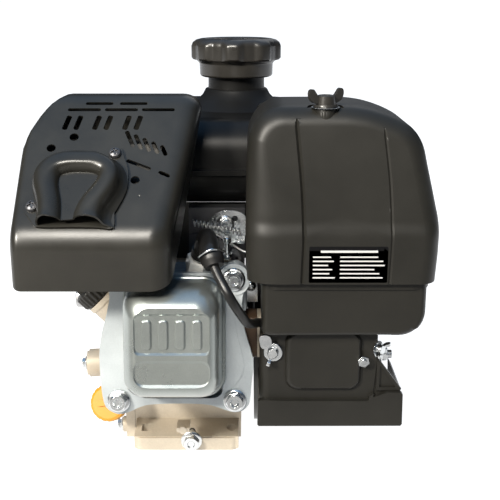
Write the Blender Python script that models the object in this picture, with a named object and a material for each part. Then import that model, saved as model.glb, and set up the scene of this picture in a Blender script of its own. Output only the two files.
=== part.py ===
"""Small horizontal-shaft overhead-valve petrol engine, one object per real piece.

Frame: +Z up, the crankshaft lies along X, the cylinder points to -Y. The power take-off end is -X, the
flywheel and recoil starter are at +X. X = 0 is the cylinder axis, Y = 0 the crankshaft axis and Z = 0 the
underside of the base. Shapes are drawn in millimetres and turned into metres by node().
"""

import math

import bmesh
import bpy
from mathutils import Matrix, Vector

# Driving dimensions, millimetres and degrees
CRANK_HEIGHT = 106.0
CYLINDER_TILT = 8.5
BORE, STROKE, ROD_LENGTH = 68.0, 54.0, 84.0
DECK = 137.0                      # crankshaft axis to the head joint, along the cylinder
GAP = 0.3                         # kept between separate pieces
FACETS = 0.7                      # share of the full number of sides that round bodies get
BASE_HOLE_X, FRONT_HOLE_Y, REAR_HOLE_Y = 37.75, -96.0, 66.0
PTO_FACE_X, PTO_END_X, PTO_RADIUS = -78.0, -114.0, 9.525
PTO_BOLT_CIRCLE = 92.0
CRANK_TEETH, CAM_TEETH, GEAR_MODULE = 16, 32, 2.2
CAM_ALONG, CAM_BELOW = 23.5, -47.3   # camshaft axis seen along the cylinder
ROD_SWING = 18.7
VALVE_X, VALVE_LIFT = 16.0, 4.5
HEAD_BOLTS = ((-47.5, -48.0), (42.5, -47.5), (42.0, 47.0))
FLYWHEEL_RADIUS, FAN_RADIUS = 80.0, 84.0
SHROUD_LEFT, SHROUD_RIGHT = 58.0, 120.0
CAP_X, CAP_Y = 42.0, -12.0
CLEANER_STUD = (108.0, -188.0)

TILT = Matrix.Translation((0, 0, CRANK_HEIGHT)) @ Matrix.Rotation(math.radians(-CYLINDER_TILT), 4, "X")


# ---- helpers: each returns a temporary object drawn in millimetres ----

def thing(bm):
    bmesh.ops.remove_doubles(bm, verts=bm.verts, dist=1e-5)
    bmesh.ops.recalc_face_normals(bm, faces=bm.faces)
    mesh = bpy.data.meshes.new("shape")
    bm.to_mesh(mesh)
    bm.free()
    obj = bpy.data.objects.new("shape", mesh)
    bpy.context.collection.objects.link(obj)
    return obj


def loft(rings):
    """A closed body through rings of equally many points."""
    bm = bmesh.new()
    rows = [[bm.verts.new(p) for p in ring] for ring in rings]
    for low, high in zip(rows, rows[1:]):
        for i in range(len(low)):
            j = (i + 1) % len(low)
            bm.faces.new((low[i], low[j], high[j], high[i]))
    bm.faces.new(rows[0])
    bm.faces.new(rows[-1])
    return thing(bm)


def prism(outline, axis, low, high):
    """An outline in the plane across the axis, as (y, z), (x, z) or (x, y), drawn from low to high."""
    place = {
        "X": lambda u, v, w: (w, u, v),
        "Y": lambda u, v, w: (u, w, v),
        "Z": lambda u, v, w: (u, v, w),
    }[axis]
    return loft([[place(u, v, w) for u, v in outline] for w in (low, high)])


def rounded(u0, u1, v0, v1, radius, steps=3):
    """Outline of a rectangle with round corners."""
    points = []
    corners = ((u1 - radius, v1 - radius, 0), (u0 + radius, v1 - radius, 90),
               (u0 + radius, v0 + radius, 180), (u1 - radius, v0 + radius, 270))
    for u, v, start in corners:
        for k in range(steps + 1):
            angle = math.radians(start + 90 * k / steps)
            points.append((u + radius * math.cos(angle), v + radius * math.sin(angle)))
    return points


def circle(u, v, radius, sides=24, turn=0.0):
    return [(u + radius * math.cos(turn + 2 * math.pi * k / sides),
             v + radius * math.sin(turn + 2 * math.pi * k / sides)) for k in range(sides)]


def block(x0, x1, y0, y1, z0, z1):
    return prism(((x0, y0), (x1, y0), (x1, y1), (x0, y1)), "Z", z0, z1)


def lathe(profile, origin, axis, sides=20):
    """Turned body: profile holds (distance along the axis, radius). It runs closed if no radius is 0."""
    sides = sides if sides <= 8 else max(8, round(sides * FACETS))
    direction = Vector(axis).normalized()
    side = direction.orthogonal().normalized()
    other = direction.cross(side)
    origin = Vector(origin)
    bm = bmesh.new()
    rows = []
    for along, radius in profile:
        centre = origin + direction * along
        if radius == 0:
            rows.append([bm.verts.new(centre)] * sides)
        else:
            rows.append([bm.verts.new(centre + radius * (side * math.cos(a) + other * math.sin(a)))
                         for a in (2 * math.pi * k / sides for k in range(sides))])
    pairs = list(zip(rows, rows[1:]))
    if profile[0][1] and profile[-1][1]:
        pairs.append((rows[-1], rows[0]))
    for low, high in pairs:
        for i in range(sides):
            j = (i + 1) % sides
            corners = list(dict.fromkeys((low[i], low[j], high[j], high[i])))
            if len(corners) > 2:
                bm.faces.new(corners)
    return thing(bm)


def rod(start, end, radius, end_radius=None, sides=16):
    length = (Vector(end) - Vector(start)).length
    return lathe(((0, 0), (0, radius), (length, end_radius or radius), (length, 0)), start,
                 Vector(end) - Vector(start), sides)


def hexagon(start, end, across):
    return rod(start, end, across / math.sqrt(3), sides=6)


def hex_bolt(face, direction, across, flange, shank, shank_radius, head=6.0):
    """Flange bolt whose head sits GAP off the face."""
    direction = Vector(direction).normalized()
    seat = Vector(face) + direction * GAP
    return join(lathe(((-shank - GAP, 0), (-shank - GAP, shank_radius), (0, shank_radius), (0, flange),
                       (1.5, flange), (2.2, flange * 0.8), (2.2, 0)), seat, direction, 16),
                hexagon(seat + direction * 1.5, seat + direction * head, across))


def closed(mesh):
    bm = bmesh.new()
    bm.from_mesh(mesh)
    answer = all(edge.is_manifold for edge in bm.edges)
    bm.free()
    return answer


def boolean(operation, base, others):
    for other in others:
        for solver in ("EXACT", "MANIFOLD"):
            step = base.modifiers.new("step", "BOOLEAN")
            step.operation, step.solver, step.object = operation, solver, other
            mesh = bpy.data.meshes.new_from_object(base.evaluated_get(bpy.context.evaluated_depsgraph_get()))
            base.modifiers.clear()
            if closed(mesh):
                break
        base.data = mesh
        bpy.data.objects.remove(other)
    return base


def join(base, *others):
    return boolean("UNION", base, others)


def cut(base, *others):
    return boolean("DIFFERENCE", base, others)


def common(base, *others):
    return boolean("INTERSECT", base, others)


def move(obj, matrix):
    obj.data.transform(matrix)
    return obj


def tilted(obj):
    """From the cylinder's own frame, where it points along -Y and the crankshaft is the origin."""
    return move(obj, TILT)


def turned(obj, degrees, axis, centre):
    there = Matrix.Translation(centre)
    return move(obj, there @ Matrix.Rotation(math.radians(degrees), 4, axis) @ there.inverted())


MATERIALS = {
    "cast": ((0.72, 0.66, 0.56), 1.0, 0.42), "head_cast": ((0.72, 0.75, 0.78), 1.0, 0.35),
    "cover_zinc": ((0.66, 0.68, 0.66), 1.0, 0.28), "black_steel": ((0.025, 0.024, 0.022), 0.0, 0.35),
    "black_plastic": ((0.02, 0.02, 0.02), 0.0, 0.45), "rubber": ((0.015, 0.015, 0.015), 0.0, 0.7),
    "zinc": ((0.75, 0.75, 0.72), 1.0, 0.25), "steel": ((0.55, 0.55, 0.55), 1.0, 0.3),
    "iron": ((0.25, 0.25, 0.25), 1.0, 0.5), "yellow": ((0.85, 0.45, 0.04), 0.0, 0.4),
    "foam": ((0.1, 0.09, 0.07), 0.0, 0.9), "ceramic": ((0.85, 0.85, 0.82), 0.0, 0.3),
    "resin": ((0.09, 0.05, 0.03), 0.0, 0.5), "brass": ((0.7, 0.5, 0.2), 1.0, 0.3),
}


def material(kind, name):
    made = bpy.data.materials.new(name)
    made.use_nodes = True
    colour, metallic, roughness = MATERIALS[kind]
    shader = made.node_tree.nodes["Principled BSDF"]
    shader.inputs["Base Color"].default_value = (*colour, 1)
    shader.inputs["Metallic"].default_value = metallic
    shader.inputs["Roughness"].default_value = roughness
    return made


def node(name, obj, kind, origin=(0, 0, 0)):
    """Names the finished piece, puts its origin where it turns or slides, and scales it to metres."""
    obj.name = obj.data.name = name
    origin = Vector(origin)
    obj.data.transform(Matrix.Scale(0.001, 4) @ Matrix.Translation(-origin))
    obj.location = origin * 0.001
    obj.data.materials.clear()
    obj.data.materials.append(material(kind, name))
    return obj


def in_world(x, along, up):
    """World place of a point given along the cylinder and up from its axis."""
    return TILT @ Vector((x, -along, up))


for old in list(bpy.data.objects):
    bpy.data.objects.remove(old)

# ---- crankcase and covers ----

CASE = ((-84, 0), (54, 0), (54, 16), (62, 40), (66, 80), (66, 120), (58, 146), (36, 164), (-10, 168),
        (-52, 158), (-68, 140), (-80, 100), (-84, 60))
CHAMBER = ((-76, 10), (46, 10), (48, 20), (54, 44), (57, 80), (57, 118), (50, 140), (32, 155), (-10, 158),
           (-46, 149), (-60, 134), (-72, 98), (-76, 60))
CAM = in_world(0, CAM_ALONG, CAM_BELOW)
CRANK = Vector((0, 0, CRANK_HEIGHT))

case = prism(CASE, "X", -50, 46)
barrel = rod((0, -50, 0), (0, -DECK, 0), 42, sides=24)
fins = [prism(rounded(-50, 50, -44, 50, 10, 2), "Y", -y - 2.2, -y) for y in range(82, 127, 11)]
deck = prism(rounded(-54, 52, -56, 54, 9, 3), "Y", -DECK, -DECK + 9)
tunnel = block(-30, 30, -DECK, -52, -61, -34)
case = join(case, tilted(join(barrel, deck, tunnel, *fins)))
foot = join(prism(rounded(-48.5, 44, FRONT_HOLE_Y - 13, -70, 5, 2), "Z", 0, 15.5),
            prism(rounded(-48.5, 44, 40, REAR_HOLE_Y + 13, 5, 2), "Z", 0, 15.5))
case = join(case, foot)
case = cut(
    case,
    prism(CHAMBER, "X", -51, 28),
    tilted(rod((0, -38, 0), (0, -DECK - 1, 0), BORE / 2, sides=32)),
    tilted(block(-27, 27, -DECK - 1, -20, -57.5, -38)),
    *[tilted(block(x - 7, x + 7, -DECK - 1, -60, -40, -34.3)) for x in (-17, 17)],
    rod((27, 0, CRANK_HEIGHT), (44.5, 0, CRANK_HEIGHT), 26.4, sides=24),
    rod((40, 0, CRANK_HEIGHT), (47, 0, CRANK_HEIGHT), 15),
    rod((27, CAM.y, CAM.z), (38, CAM.y, CAM.z), 6.4, sides=16),
    *[rod((x, y, -1), (x, y, 17), 4.3, sides=12) for x in (-BASE_HOLE_X, BASE_HOLE_X)
      for y in (FRONT_HOLE_Y, REAR_HOLE_Y)],
    block(-BASE_HOLE_X - 5, -BASE_HOLE_X + 5, FRONT_HOLE_Y - 4.29, FRONT_HOLE_Y + 4.29, -1, 17),
    rod((2.5, -111, 9.5), (2.5, -86, 9.5), 5.7, sides=12),
    *[tilted(rod((x, -DECK - 1, z), (x, -DECK + 22, z), 4.4, sides=12)) for x, z in HEAD_BOLTS],
)
node("crankcase", case, "cast")

NECK_END, NECK_AXIS = Vector((-81, -55, 125)), Vector((-1, 0, 1)).normalized()
STICK_END, STICK_AXIS = Vector((-67.5, -104, 44)), Vector((-5, -34, 14)).normalized()
PTO_BOLTS = circle(0, CRANK_HEIGHT, PTO_BOLT_CIRCLE / 2, 4, math.pi / 4)
cover = join(
    prism(CASE, "X", -58.3, -50.3),
    rod((-57, 0, CRANK_HEIGHT), (PTO_FACE_X, 0, CRANK_HEIGHT), 33, sides=24),
    rod((-44, 0, CRANK_HEIGHT), (-52, 0, CRANK_HEIGHT), 32, sides=24),
    *[rod((-56, y, z), (PTO_FACE_X, y, z), 8.5, sides=12) for y, z in PTO_BOLTS],
    rod((-52, CAM.y, CAM.z), (-65, CAM.y, CAM.z), 11, sides=12),
    rod(NECK_END - NECK_AXIS * 37, NECK_END, 14.5),
    rod((-54, -73, 70), (-92, -77, 70), 12.5),
    rod(STICK_END - STICK_AXIS * 34, STICK_END, 12.5),
)
cover = cut(
    cover,
    rod((-43, 0, CRANK_HEIGHT), (-59.7, 0, CRANK_HEIGHT), 26.4, sides=24),
    rod((-59, 0, CRANK_HEIGHT), (-63, 0, CRANK_HEIGHT), 15),
    rod((-62.5, 0, CRANK_HEIGHT), (PTO_FACE_X - 1, 0, CRANK_HEIGHT), 19.8),
    *[rod((PTO_FACE_X + 13, y, z), (PTO_FACE_X - 1, y, z), 3.4, sides=8) for y, z in PTO_BOLTS],
    rod((-49, CAM.y, CAM.z), (-59, CAM.y, CAM.z), 6.5),
    rod(NECK_END - NECK_AXIS * 52, NECK_END + NECK_AXIS * 2, 9.5),
    rod(STICK_END - STICK_AXIS * 30, STICK_END + STICK_AXIS * 2, 7.0),
)
node("side_cover", cover, "cast")

for name, low, high in (("pto_bearing", -59.4, -44.4), ("flywheel_bearing", 29, 44)):
    ring = lathe(((low, 12.9), (low, 25.9), (high, 25.9), (high, 12.9)), CRANK, (1, 0, 0), 24)
    node(name, ring, "steel")
seal = lathe(((-70.5, 13.3), (-70.5, 19), (-63.3, 19), (-63.3, 13.3)), CRANK, (1, 0, 0), 16)
node("pto_oil_seal", seal, "rubber")
node("drain_plug", hex_bolt((2.5, -109, 9.5), (0, -1, 0), 12, 8.5, 20, 5, 7.5), "zinc")

# ---- crankshaft group, turning about X ----


def gear(teeth, module, x0, x1, centre, turn, bore):
    """Spur gear with trapezoid teeth and a little backlash."""
    pitch = teeth * module / 2
    outline = []
    for k in range(teeth):
        for part, radius in ((-0.36, pitch - 1.2 * module), (-0.13, pitch + 0.9 * module),
                             (0.13, pitch + 0.9 * module), (0.36, pitch - 1.2 * module)):
            a = turn + 2 * math.pi * (k + part) / teeth
            outline.append((centre.y + radius * math.cos(a), centre.z + radius * math.sin(a)))
    return cut(prism(outline, "X", x0, x1), rod((x0 - 1, centre.y, centre.z), (x1 + 1, centre.y, centre.z), bore))


toward_cam = math.atan2(CAM.z - CRANK.z, CAM.y)
pto_half = cut(
    lathe(((12.5, 0), (12.5, 36), (23.5, 36), (23.5, 16), (27.5, 16), (27.5, 12.5), (74, 12.5),
           (74, PTO_RADIUS), (-PTO_END_X - 1, PTO_RADIUS), (-PTO_END_X, PTO_RADIUS - 1), (-PTO_END_X, 0)),
          CRANK, (-1, 0, 0), 28),
    block(PTO_END_X + 3, -80, -2.4, 2.4, CRANK_HEIGHT + 7.2, CRANK_HEIGHT + 11),
    rod((PTO_END_X - 1, 0, CRANK_HEIGHT), (PTO_END_X + 22, 0, CRANK_HEIGHT), 3.4, sides=12),
)
node("crankshaft_pto", pto_half, "steel", CRANK)
flywheel_half = lathe(((12.5, 0), (12.5, 36), (23.5, 36), (23.5, 16), (28.5, 16), (28.5, 12.5), (60, 12.5),
                       (62, 11.5), (88, 9), (93, 7), (93, 14), (94.5, 14), (94.5, 11.5), (104, 11.5), (106, 9.5), (106, 7),
                       (112, 7), (112, 0)), CRANK, (1, 0, 0), 24)
node("crankshaft_flywheel", flywheel_half, "steel", CRANK)
node("crank_gear", gear(CRANK_TEETH, GEAR_MODULE, -39, -31, CRANK, toward_cam + math.pi / CRANK_TEETH, 13.4),
     "steel", CRANK)
node("pto_key", block(PTO_END_X + 4, -81, -2.1, 2.1, CRANK_HEIGHT + 7.5, CRANK_HEIGHT + 11.3), "steel", CRANK)

flywheel = lathe(((60, 14), (60, 26), (66, 30), (66, 70), (60, 72), (60, FLYWHEEL_RADIUS), (86, FLYWHEEL_RADIUS),
                  (86, 70), (74, 66), (74, 30), (84, 26), (88, 24), (88, 10.2), (62, 12.6)), CRANK, (1, 0, 0), 26)
node("flywheel", flywheel, "iron", CRANK)
fan = lathe(((88.4, 15), (88.4, FAN_RADIUS - 1), (90.4, FAN_RADIUS), (90.4, 15)), CRANK, (1, 0, 0), 28)
blades = []
for k in range(12):
    blade = prism(((34, -1.2), (58, -3.0), (FAN_RADIUS - 1.5, -9.0), (FAN_RADIUS - 1.5, -6.6), (58, -0.6),
                   (34, 1.2)), "X", 89, 104)
    blades.append(turned(blade, 360 * k / 12, "X", (0, 0, 0)))
fan = join(fan, *[move(b, Matrix.Translation(CRANK)) for b in blades])
node("cooling_fan", fan, "black_plastic", CRANK)

# ---- connecting rod with its crank pin, piston and wrist pin, along the tilted cylinder ----

WRIST = STROKE / 2 + ROD_LENGTH
wrist_at = in_world(0, WRIST, 0)


conrod = cut(
    join(rod((-10.5, -STROKE / 2, 0), (10.5, -STROKE / 2, 0), 14.3, sides=24),
         rod((-9, -WRIST, 0), (9, -WRIST, 0), 13, sides=20),
         prism(((-STROKE / 2 - 11, -9), (-STROKE / 2 - 11, 9), (-WRIST + 11, 7.5), (-WRIST + 11, -7.5)), "X", -6, 6)),
    rod((-12, -STROKE / 2, 0), (12, -STROKE / 2, 0), 9.5, sides=24),
    rod((-12, -WRIST, 0), (12, -WRIST, 0), 9.4, sides=20),
)
node("connecting_rod", tilted(conrod), "cast", wrist_at)
node("crank_pin", tilted(rod((-12.1, -STROKE / 2, 0), (12.1, -STROKE / 2, 0), 9.1, sides=24)), "steel", wrist_at)

CROWN = DECK - 0.3
piston = lathe(((CROWN, 0), (CROWN, 33.2), (CROWN - 4, 33.4), (CROWN - 4, 30.6), (CROWN - 6, 30.6),
                (CROWN - 6, 33.4), (CROWN - 9, 33.4), (CROWN - 9, 31.6), (CROWN - 11, 31.6), (CROWN - 11, 33.4),
                (WRIST - 15, 33.5), (WRIST - 15, 28.5), (CROWN - 10, 28.5), (CROWN - 10, 0)),
               (0, 0, 0), (0, -1, 0), 22)
bosses = common(join(rod((-33, -WRIST, 0), (-12, -WRIST, 0), 13), rod((12, -WRIST, 0), (33, -WRIST, 0), 13)),
                rod((0, -90, 0), (0, -CROWN + 5, 0), 31, sides=28))
piston = cut(join(piston, bosses), rod((-36, -WRIST, 0), (36, -WRIST, 0), 9.3, sides=20))
node("piston", tilted(piston), "cast", wrist_at)
RING = CROWN - 5
ring = cut(lathe(((RING - 0.7, 31), (RING - 0.7, 33.5), (RING + 0.7, 33.5), (RING + 0.7, 31)), (0, 0, 0),
                 (0, -1, 0), 28), block(-0.4, 0.4, -140, -100, 28, 36))
node("piston_ring", tilted(ring), "iron", wrist_at)
pin = cut(rod((-26, -WRIST, 0), (26, -WRIST, 0), 8.9, sides=20), rod((-28, -WRIST, 0), (28, -WRIST, 0), 5.5, sides=12))
node("wrist_pin", tilted(pin), "steel", wrist_at)

# ---- camshaft and valve train ----

shaft = lathe(((-57, 0), (-57, 6), (-13, 6), (-13, 4.4), (13, 4.4), (13, 6), (37.5, 6), (37.5, 0)),
              (0, CAM.y, CAM.z), (1, 0, 0), 16)


def cam_lobe(x0, x1, degrees):
    """Base circle of 6.8 mm with a nose 9.2 mm out, which passes under the tappets."""
    start = math.radians(degrees)
    nose = Vector((math.cos(start), math.sin(start))) * 3.0
    base = [(CAM.y + 6.8 * math.cos(start + math.radians(d)), CAM.z + 6.8 * math.sin(start + math.radians(d)))
            for d in range(100, 261, 20)]
    tip = [(CAM.y + nose.x + 6.2 * math.cos(start + math.radians(d)),
            CAM.z + nose.y + 6.2 * math.sin(start + math.radians(d))) for d in (-60, -30, 0, 30, 60)]
    return prism(tip + base, "X", x0, x1)


cam_gear = gear(CAM_TEETH, GEAR_MODULE, -39, -31, CAM, toward_cam + math.pi, 5.5)
shaft = join(shaft, cam_gear, cam_lobe(-22, -14, -60), cam_lobe(14, 22, 20))
node("camshaft", shaft, "iron", CAM)

PUSH_LOW, PUSH_HIGH = 33.2, 189.2
ROCKER_ALONG, ROCKER_UP, PUSH_UP_HIGH = 197.0, -17.0, -33.0
for sign, side in ((1, "intake"), (-1, "exhaust")):
    low, high = Vector((sign * 18, -PUSH_LOW, CAM_BELOW)), Vector((sign * VALVE_X, -PUSH_HIGH, PUSH_UP_HIGH))
    along = high - low
    push = lathe(((0, 0), (0, 8.2), (3, 8.2), (4, 4), (24, 4), (26, 2.8), (along.length - 3, 2.8),
                  (along.length, 1.2), (along.length, 0)), low, along, 12)
    node(side + "_pushrod", tilted(push), "steel", TILT @ low)

    valve_head = 14.0 if side == "intake" else 12.5
    x = sign * VALVE_X
    valve = lathe(((142, 0), (142, valve_head - 1), (144, valve_head), (146, 6), (150, 2.9), (187.3, 2.9),
                   (187.5, 8.8), (190, 8.8), (190, 5), (191, 2.9), (193.4, 2.9), (193.4, 0)),
                  (x, 0, 0), (0, -1, 0), 16)
    node(side + "_valve", tilted(valve), "steel", in_world(x, 143, 0))

    turns, wire = 4.0, 1.2
    centre_line = [(x + 6.8 * math.cos(a), -(171.4 + 8.8 * a / (2 * math.pi * turns)), 6.8 * math.sin(a))
                   for a in (2 * math.pi * turns * k / 26 for k in range(27))]
    rings = []
    for i, p in enumerate(centre_line):
        a = 2 * math.pi * turns * i / 26
        out = Vector((math.cos(a), 0, math.sin(a)))
        rings.append([Vector(p) + wire * (out * math.cos(b) + Vector((0, 1, 0)) * math.sin(b))
                      for b in (2 * math.pi * q / 5 for q in range(5))])
    spring = tilted(move(loft(rings), Matrix.Translation((0, -wire, 0))))
    node(side + "_valve_spring", spring, "steel", in_world(x, 171, 0))

    pivot = (x, -ROCKER_ALONG, ROCKER_UP)
    rocker = join(
        prism(((-194.6, 3.5), (-194.2, -3.5), (-193, -10), (-190.8, -28), (-189.8, -34.6), (-193.5, -35.6),
               (-199, -32.5), (-204, -18), (-200, 0), (-197.5, 3.5)), "X", x - 5, x + 5),
        rod((x - 7, -ROCKER_ALONG, ROCKER_UP), (x + 7, -ROCKER_ALONG, ROCKER_UP), 7, sides=16),
    )
    rocker = cut(rocker, rod((x - 8, -ROCKER_ALONG, ROCKER_UP), (x + 8, -ROCKER_ALONG, ROCKER_UP), 3.3, sides=12))
    node(side + "_rocker", tilted(rocker), "steel", TILT @ Vector(pivot))

# ---- cylinder head, valve cover, head bolts ----

PLUG_FOOT = Vector((4, -141, 20))
PLUG_AXIS = (Vector((16, -166, 62)) - PLUG_FOOT).normalized()
HEAD_EDGE = ((-51, -58), (-39, -57.5), (-24, -52.5), (22, -52.5), (36, -55.5), (46, -57), (54, -53), (56, -46),
             (57, -20), (50, 8), (48, 34), (53, 44), (50, 54), (40, 57), (30, 53), (-34, 53), (-46, 56), (-55, 50),
             (-53, 30), (-60, 6), (-62, -14), (-61, -36), (-58, -52))
head = join(
    prism(rounded(-38, 38, -54, 36, 8, 2), "Y", -180, -DECK - GAP),
    prism(rounded(-55, 52, -56, 54, 8, 2), "Y", -DECK - 9, -DECK - GAP),
    *[prism(rounded(-54, 51, -46, 50, 9, 2), "Y", -y - 2.2, -y) for y in (152, 163)],
    *[rod((x, -180, z), (x, -DECK - 5, z), 9.5, sides=12) for x, z in HEAD_BOLTS],
    prism(rounded(38, 47, -173, -144, 4, 2), "Z", -16, 18),
    rod((-26, -158, 20), (-26, -158, 52), 17, sides=20),
    prism(HEAD_EDGE, "Y", -185, -176),
)
head = cut(
    head,
    rod((0, -DECK, 0), (0, -145.3, 0), 31, sides=24),
    block(47.2, 60, -175, -139, -20, 21),
    rod(PLUG_FOOT + PLUG_AXIS * 35.7, PLUG_FOOT + PLUG_AXIS * 70, 12),
    prism(rounded(-33, 33, -46, 16, 7, 2), "Y", -186, -170.8),
    *[block(x - 6.5, x + 6.5, -172, -DECK, -45, -30.5) for x in (-16.5, 16.5)],
    rod((14, -158, 0), (60, -158, 0), 10), rod((VALVE_X, -158, 0), (VALVE_X, -143, 0), 10, sides=16),
    rod((-VALVE_X, -158, 0), (-26, -158, 54), 9, sides=16),
    rod((-VALVE_X, -158, 0), (-VALVE_X, -143, 0), 9, sides=16),
    *[rod((x, -140, 0), (x, -175, 0), 3.2, sides=12) for x in (-VALVE_X, VALVE_X)],
    *[rod((x, -186, z), (x, -DECK, z), 4.4, sides=12) for x, z in HEAD_BOLTS],
    rod((4, -141, 20), (16, -166, 62), 7.3, sides=16),
)
head = join(head, *[rod((x, -170, ROCKER_UP), (x, -189.6, ROCKER_UP), 4, sides=12) for x in (-VALVE_X, VALVE_X)])
node("cylinder_head", tilted(head), "head_cast")


def cover_ring(along, left, right, low, high, radius):
    return [(u, -along, v) for u, v in rounded(left, right, low, high, radius, 4)]


outer = loft([cover_ring(185.3, -42, 35, -42, 50, 17), cover_ring(190, -42, 35, -42, 50, 17),
              cover_ring(190.5, -40.5, 33.5, -41, 48.5, 15), cover_ring(218, -39, 32.5, -34.5, 47, 15),
              cover_ring(226, -35, 29.5, -31, 39, 13), cover_ring(229, -29, 24, -25, 31, 10)])
inner = loft([cover_ring(184, -38.5, 31.5, -40, 46.5, 13), cover_ring(189.5, -38.5, 31.5, -40, 46.5, 13),
              cover_ring(191, -38.5, 31.5, -39.6, 46.5, 13), cover_ring(217, -37, 30.4, -33, 45, 13),
              cover_ring(224, -33, 27.4, -29.5, 37.5, 11)])
node("valve_cover", tilted(cut(outer, inner)), "cover_zinc")
for name, (x, z) in zip(("head_bolt_lower_left", "head_bolt_lower_right", "head_bolt_upper_right"), HEAD_BOLTS):
    node(name, tilted(hex_bolt((x, -185, z), (0, -1, 0), 12, 8.6, 62, 4, 7)), "zinc")

# ---- ignition ----

def on_plug(distance):
    return PLUG_FOOT + PLUG_AXIS * distance


plug = join(lathe(((4, 0), (4, 3.5), (7, 6.9), (36, 6.9), (36, 9.5), (40, 9.5), (40, 0)), PLUG_FOOT, PLUG_AXIS, 16),
            hexagon(on_plug(39.5), on_plug(49), 19),
            lathe(((48.5, 0), (48.5, 7.2), (51, 5.6), (64, 5), (64, 2.8), (69, 2.8), (69, 0)), PLUG_FOOT,
                  PLUG_AXIS, 12))
node("spark_plug", tilted(plug), "ceramic")
BOOT_END = Vector((27, -206, 205))
boot_elbow = TILT @ on_plug(69)
boot = join(tilted(rod(on_plug(51.5), on_plug(76), 8.6)),
            rod(boot_elbow, BOOT_END, 7.4),
            rod(BOOT_END + Vector((-0.3, 5, 0.4)), BOOT_END + Vector((0.3, -4, -0.4)), 9.0))
lead_axis = Vector((6, -12, -16)).normalized()
boot = cut(boot, tilted(rod(on_plug(50), on_plug(70), 6.0, sides=12)),
           rod(BOOT_END - lead_axis * 4, BOOT_END + lead_axis * 20, 4.1, sides=12))
node("spark_plug_boot", boot, "rubber")


def cord(name, points, radius, kind):
    """Round cable through the points, smoothed into short straight runs."""
    fine = []
    for i in range(len(points) - 1):
        p0, p1, p2, p3 = (Vector(points[max(0, min(len(points) - 1, j))]) for j in (i - 1, i, i + 1, i + 2))
        steps = max(1, round((p2 - p1).length / (radius * 5)))
        for k in range(steps):
            t = k / steps
            fine.append(0.5 * ((2 * p1) + (p2 - p0) * t + (2 * p0 - 5 * p1 + 4 * p2 - p3) * t * t
                               + (3 * p1 - p0 - 3 * p2 + p3) * t ** 3))
    fine.append(Vector(points[-1]))
    curve = bpy.data.curves.new(name, "CURVE")
    curve.dimensions = "3D"
    curve.bevel_depth, curve.bevel_resolution, curve.use_fill_caps = radius * 0.001, 2, True
    curve.resolution_u = 1
    spline = curve.splines.new("POLY")
    spline.points.add(len(fine) - 1)
    for point, place in zip(spline.points, fine):
        point.co = (*(place * 0.001), 1)
    obj = bpy.data.objects.new(name, curve)
    bpy.context.collection.objects.link(obj)
    curve.materials.append(material(kind, name))
    return obj


LEAD = (BOOT_END - lead_axis * 3, BOOT_END + lead_axis * 9, (39.5, -222, 182), (46.5, -216, 168), (52, -207, 157),
        (57, -193, 150.5), (61, -185, 148.5), (66, -181, 144), (74, -179.5, 132), (82, -179, 116),
        (85, -178.7, 98), (85, -177, 86), (84, -168, 76.5), (80, -150, 75), (76.5, -132, 82), (74, -117, 96),
        (72, -108, 106), (72, -103, 113))
cord("ignition_lead", LEAD, 3.5, "rubber")
coil = cut(join(block(66, 78, -110, -84, 117, 148), block(62, 82, -112, -93, 123, 142)),
           block(65, 79, -92, -83, 122, 143), rod((60, 0, CRANK_HEIGHT), (90, 0, CRANK_HEIGHT), 81.5, sides=32))
node("ignition_coil", coil, "resin")

# ---- fan shroud and recoil starter ----

SHROUD = rounded(-118, 98, 9, 203, 68, 5)
SHROUD_INSIDE = rounded(-116, 96, 11, 201, 66, 5)
shroud = cut(prism(SHROUD, "X", SHROUD_LEFT, SHROUD_RIGHT), prism(SHROUD_INSIDE, "X", 57, SHROUD_RIGHT - 2),
             rod((110, 0, CRANK_HEIGHT), (125, 0, CRANK_HEIGHT), 62, sides=28),
             rod((74, -124, 96), (74, -110, 96), 8, sides=10))
node("blower_housing", shroud, "black_steel")
recoil = lathe(((120.3, 64), (120.3, 84), (122.3, 84), (126, 80), (160, 74), (168, 66), (170, 40), (170, 0),
                (167.5, 0), (167.5, 38), (165.5, 64), (158, 71.5), (122.5, 77), (122.5, 64)),
               CRANK, (1, 0, 0), 26)
recoil = join(recoil, rod((168, 0, CRANK_HEIGHT), (134, 0, CRANK_HEIGHT), 7, sides=16))
HANDLE_AXIS = Vector((0, 0.45, 0.893)).normalized()
ROPE_OUT = Vector((143, 36, CRANK_HEIGHT + 66))
recoil = cut(recoil, rod(ROPE_OUT - HANDLE_AXIS * 16, ROPE_OUT + HANDLE_AXIS * 20, 4, sides=12),
             *[turned(block(130, 172, 46, 60, CRANK_HEIGHT - 4, CRANK_HEIGHT + 4), a, "X", CRANK)
               for a in range(0, 360, 60)])
node("recoil_cover", recoil, "black_steel")
pulley = lathe(((133.5, 7.5), (133.5, 33), (136, 34), (137, 27), (149, 27), (150, 34), (152, 34), (154, 12),
                (154, 7.5)), CRANK, (1, 0, 0), 20)
node("recoil_pulley", pulley, "black_plastic", CRANK)
handle = join(lathe(((12, 0), (12, 8), (16, 10), (22, 9), (26, 9), (26, 0)), ROPE_OUT, HANDLE_AXIS, 20),
              move(prism(rounded(-24, 24, -8, 8, 7, 4), "Z", 24, 36),
                   Matrix.Translation(ROPE_OUT) @ Vector((0, 0, 1)).rotation_difference(HANDLE_AXIS).to_matrix()
                   .to_4x4() @ Matrix.Rotation(math.pi / 2, 4, "Z")),
              rod(ROPE_OUT - HANDLE_AXIS * 12, ROPE_OUT + HANDLE_AXIS * 14, 2.2, sides=10))
node("starter_handle", handle, "black_plastic", ROPE_OUT)

# ---- fuel tank, cap and hose ----


def box_loft(sections):
    return loft([[(x, y, z) for x, y in rounded(x0, x1, y0, y1, radius, 3)] for z, x0, x1, y0, y1, radius in sections])


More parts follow.
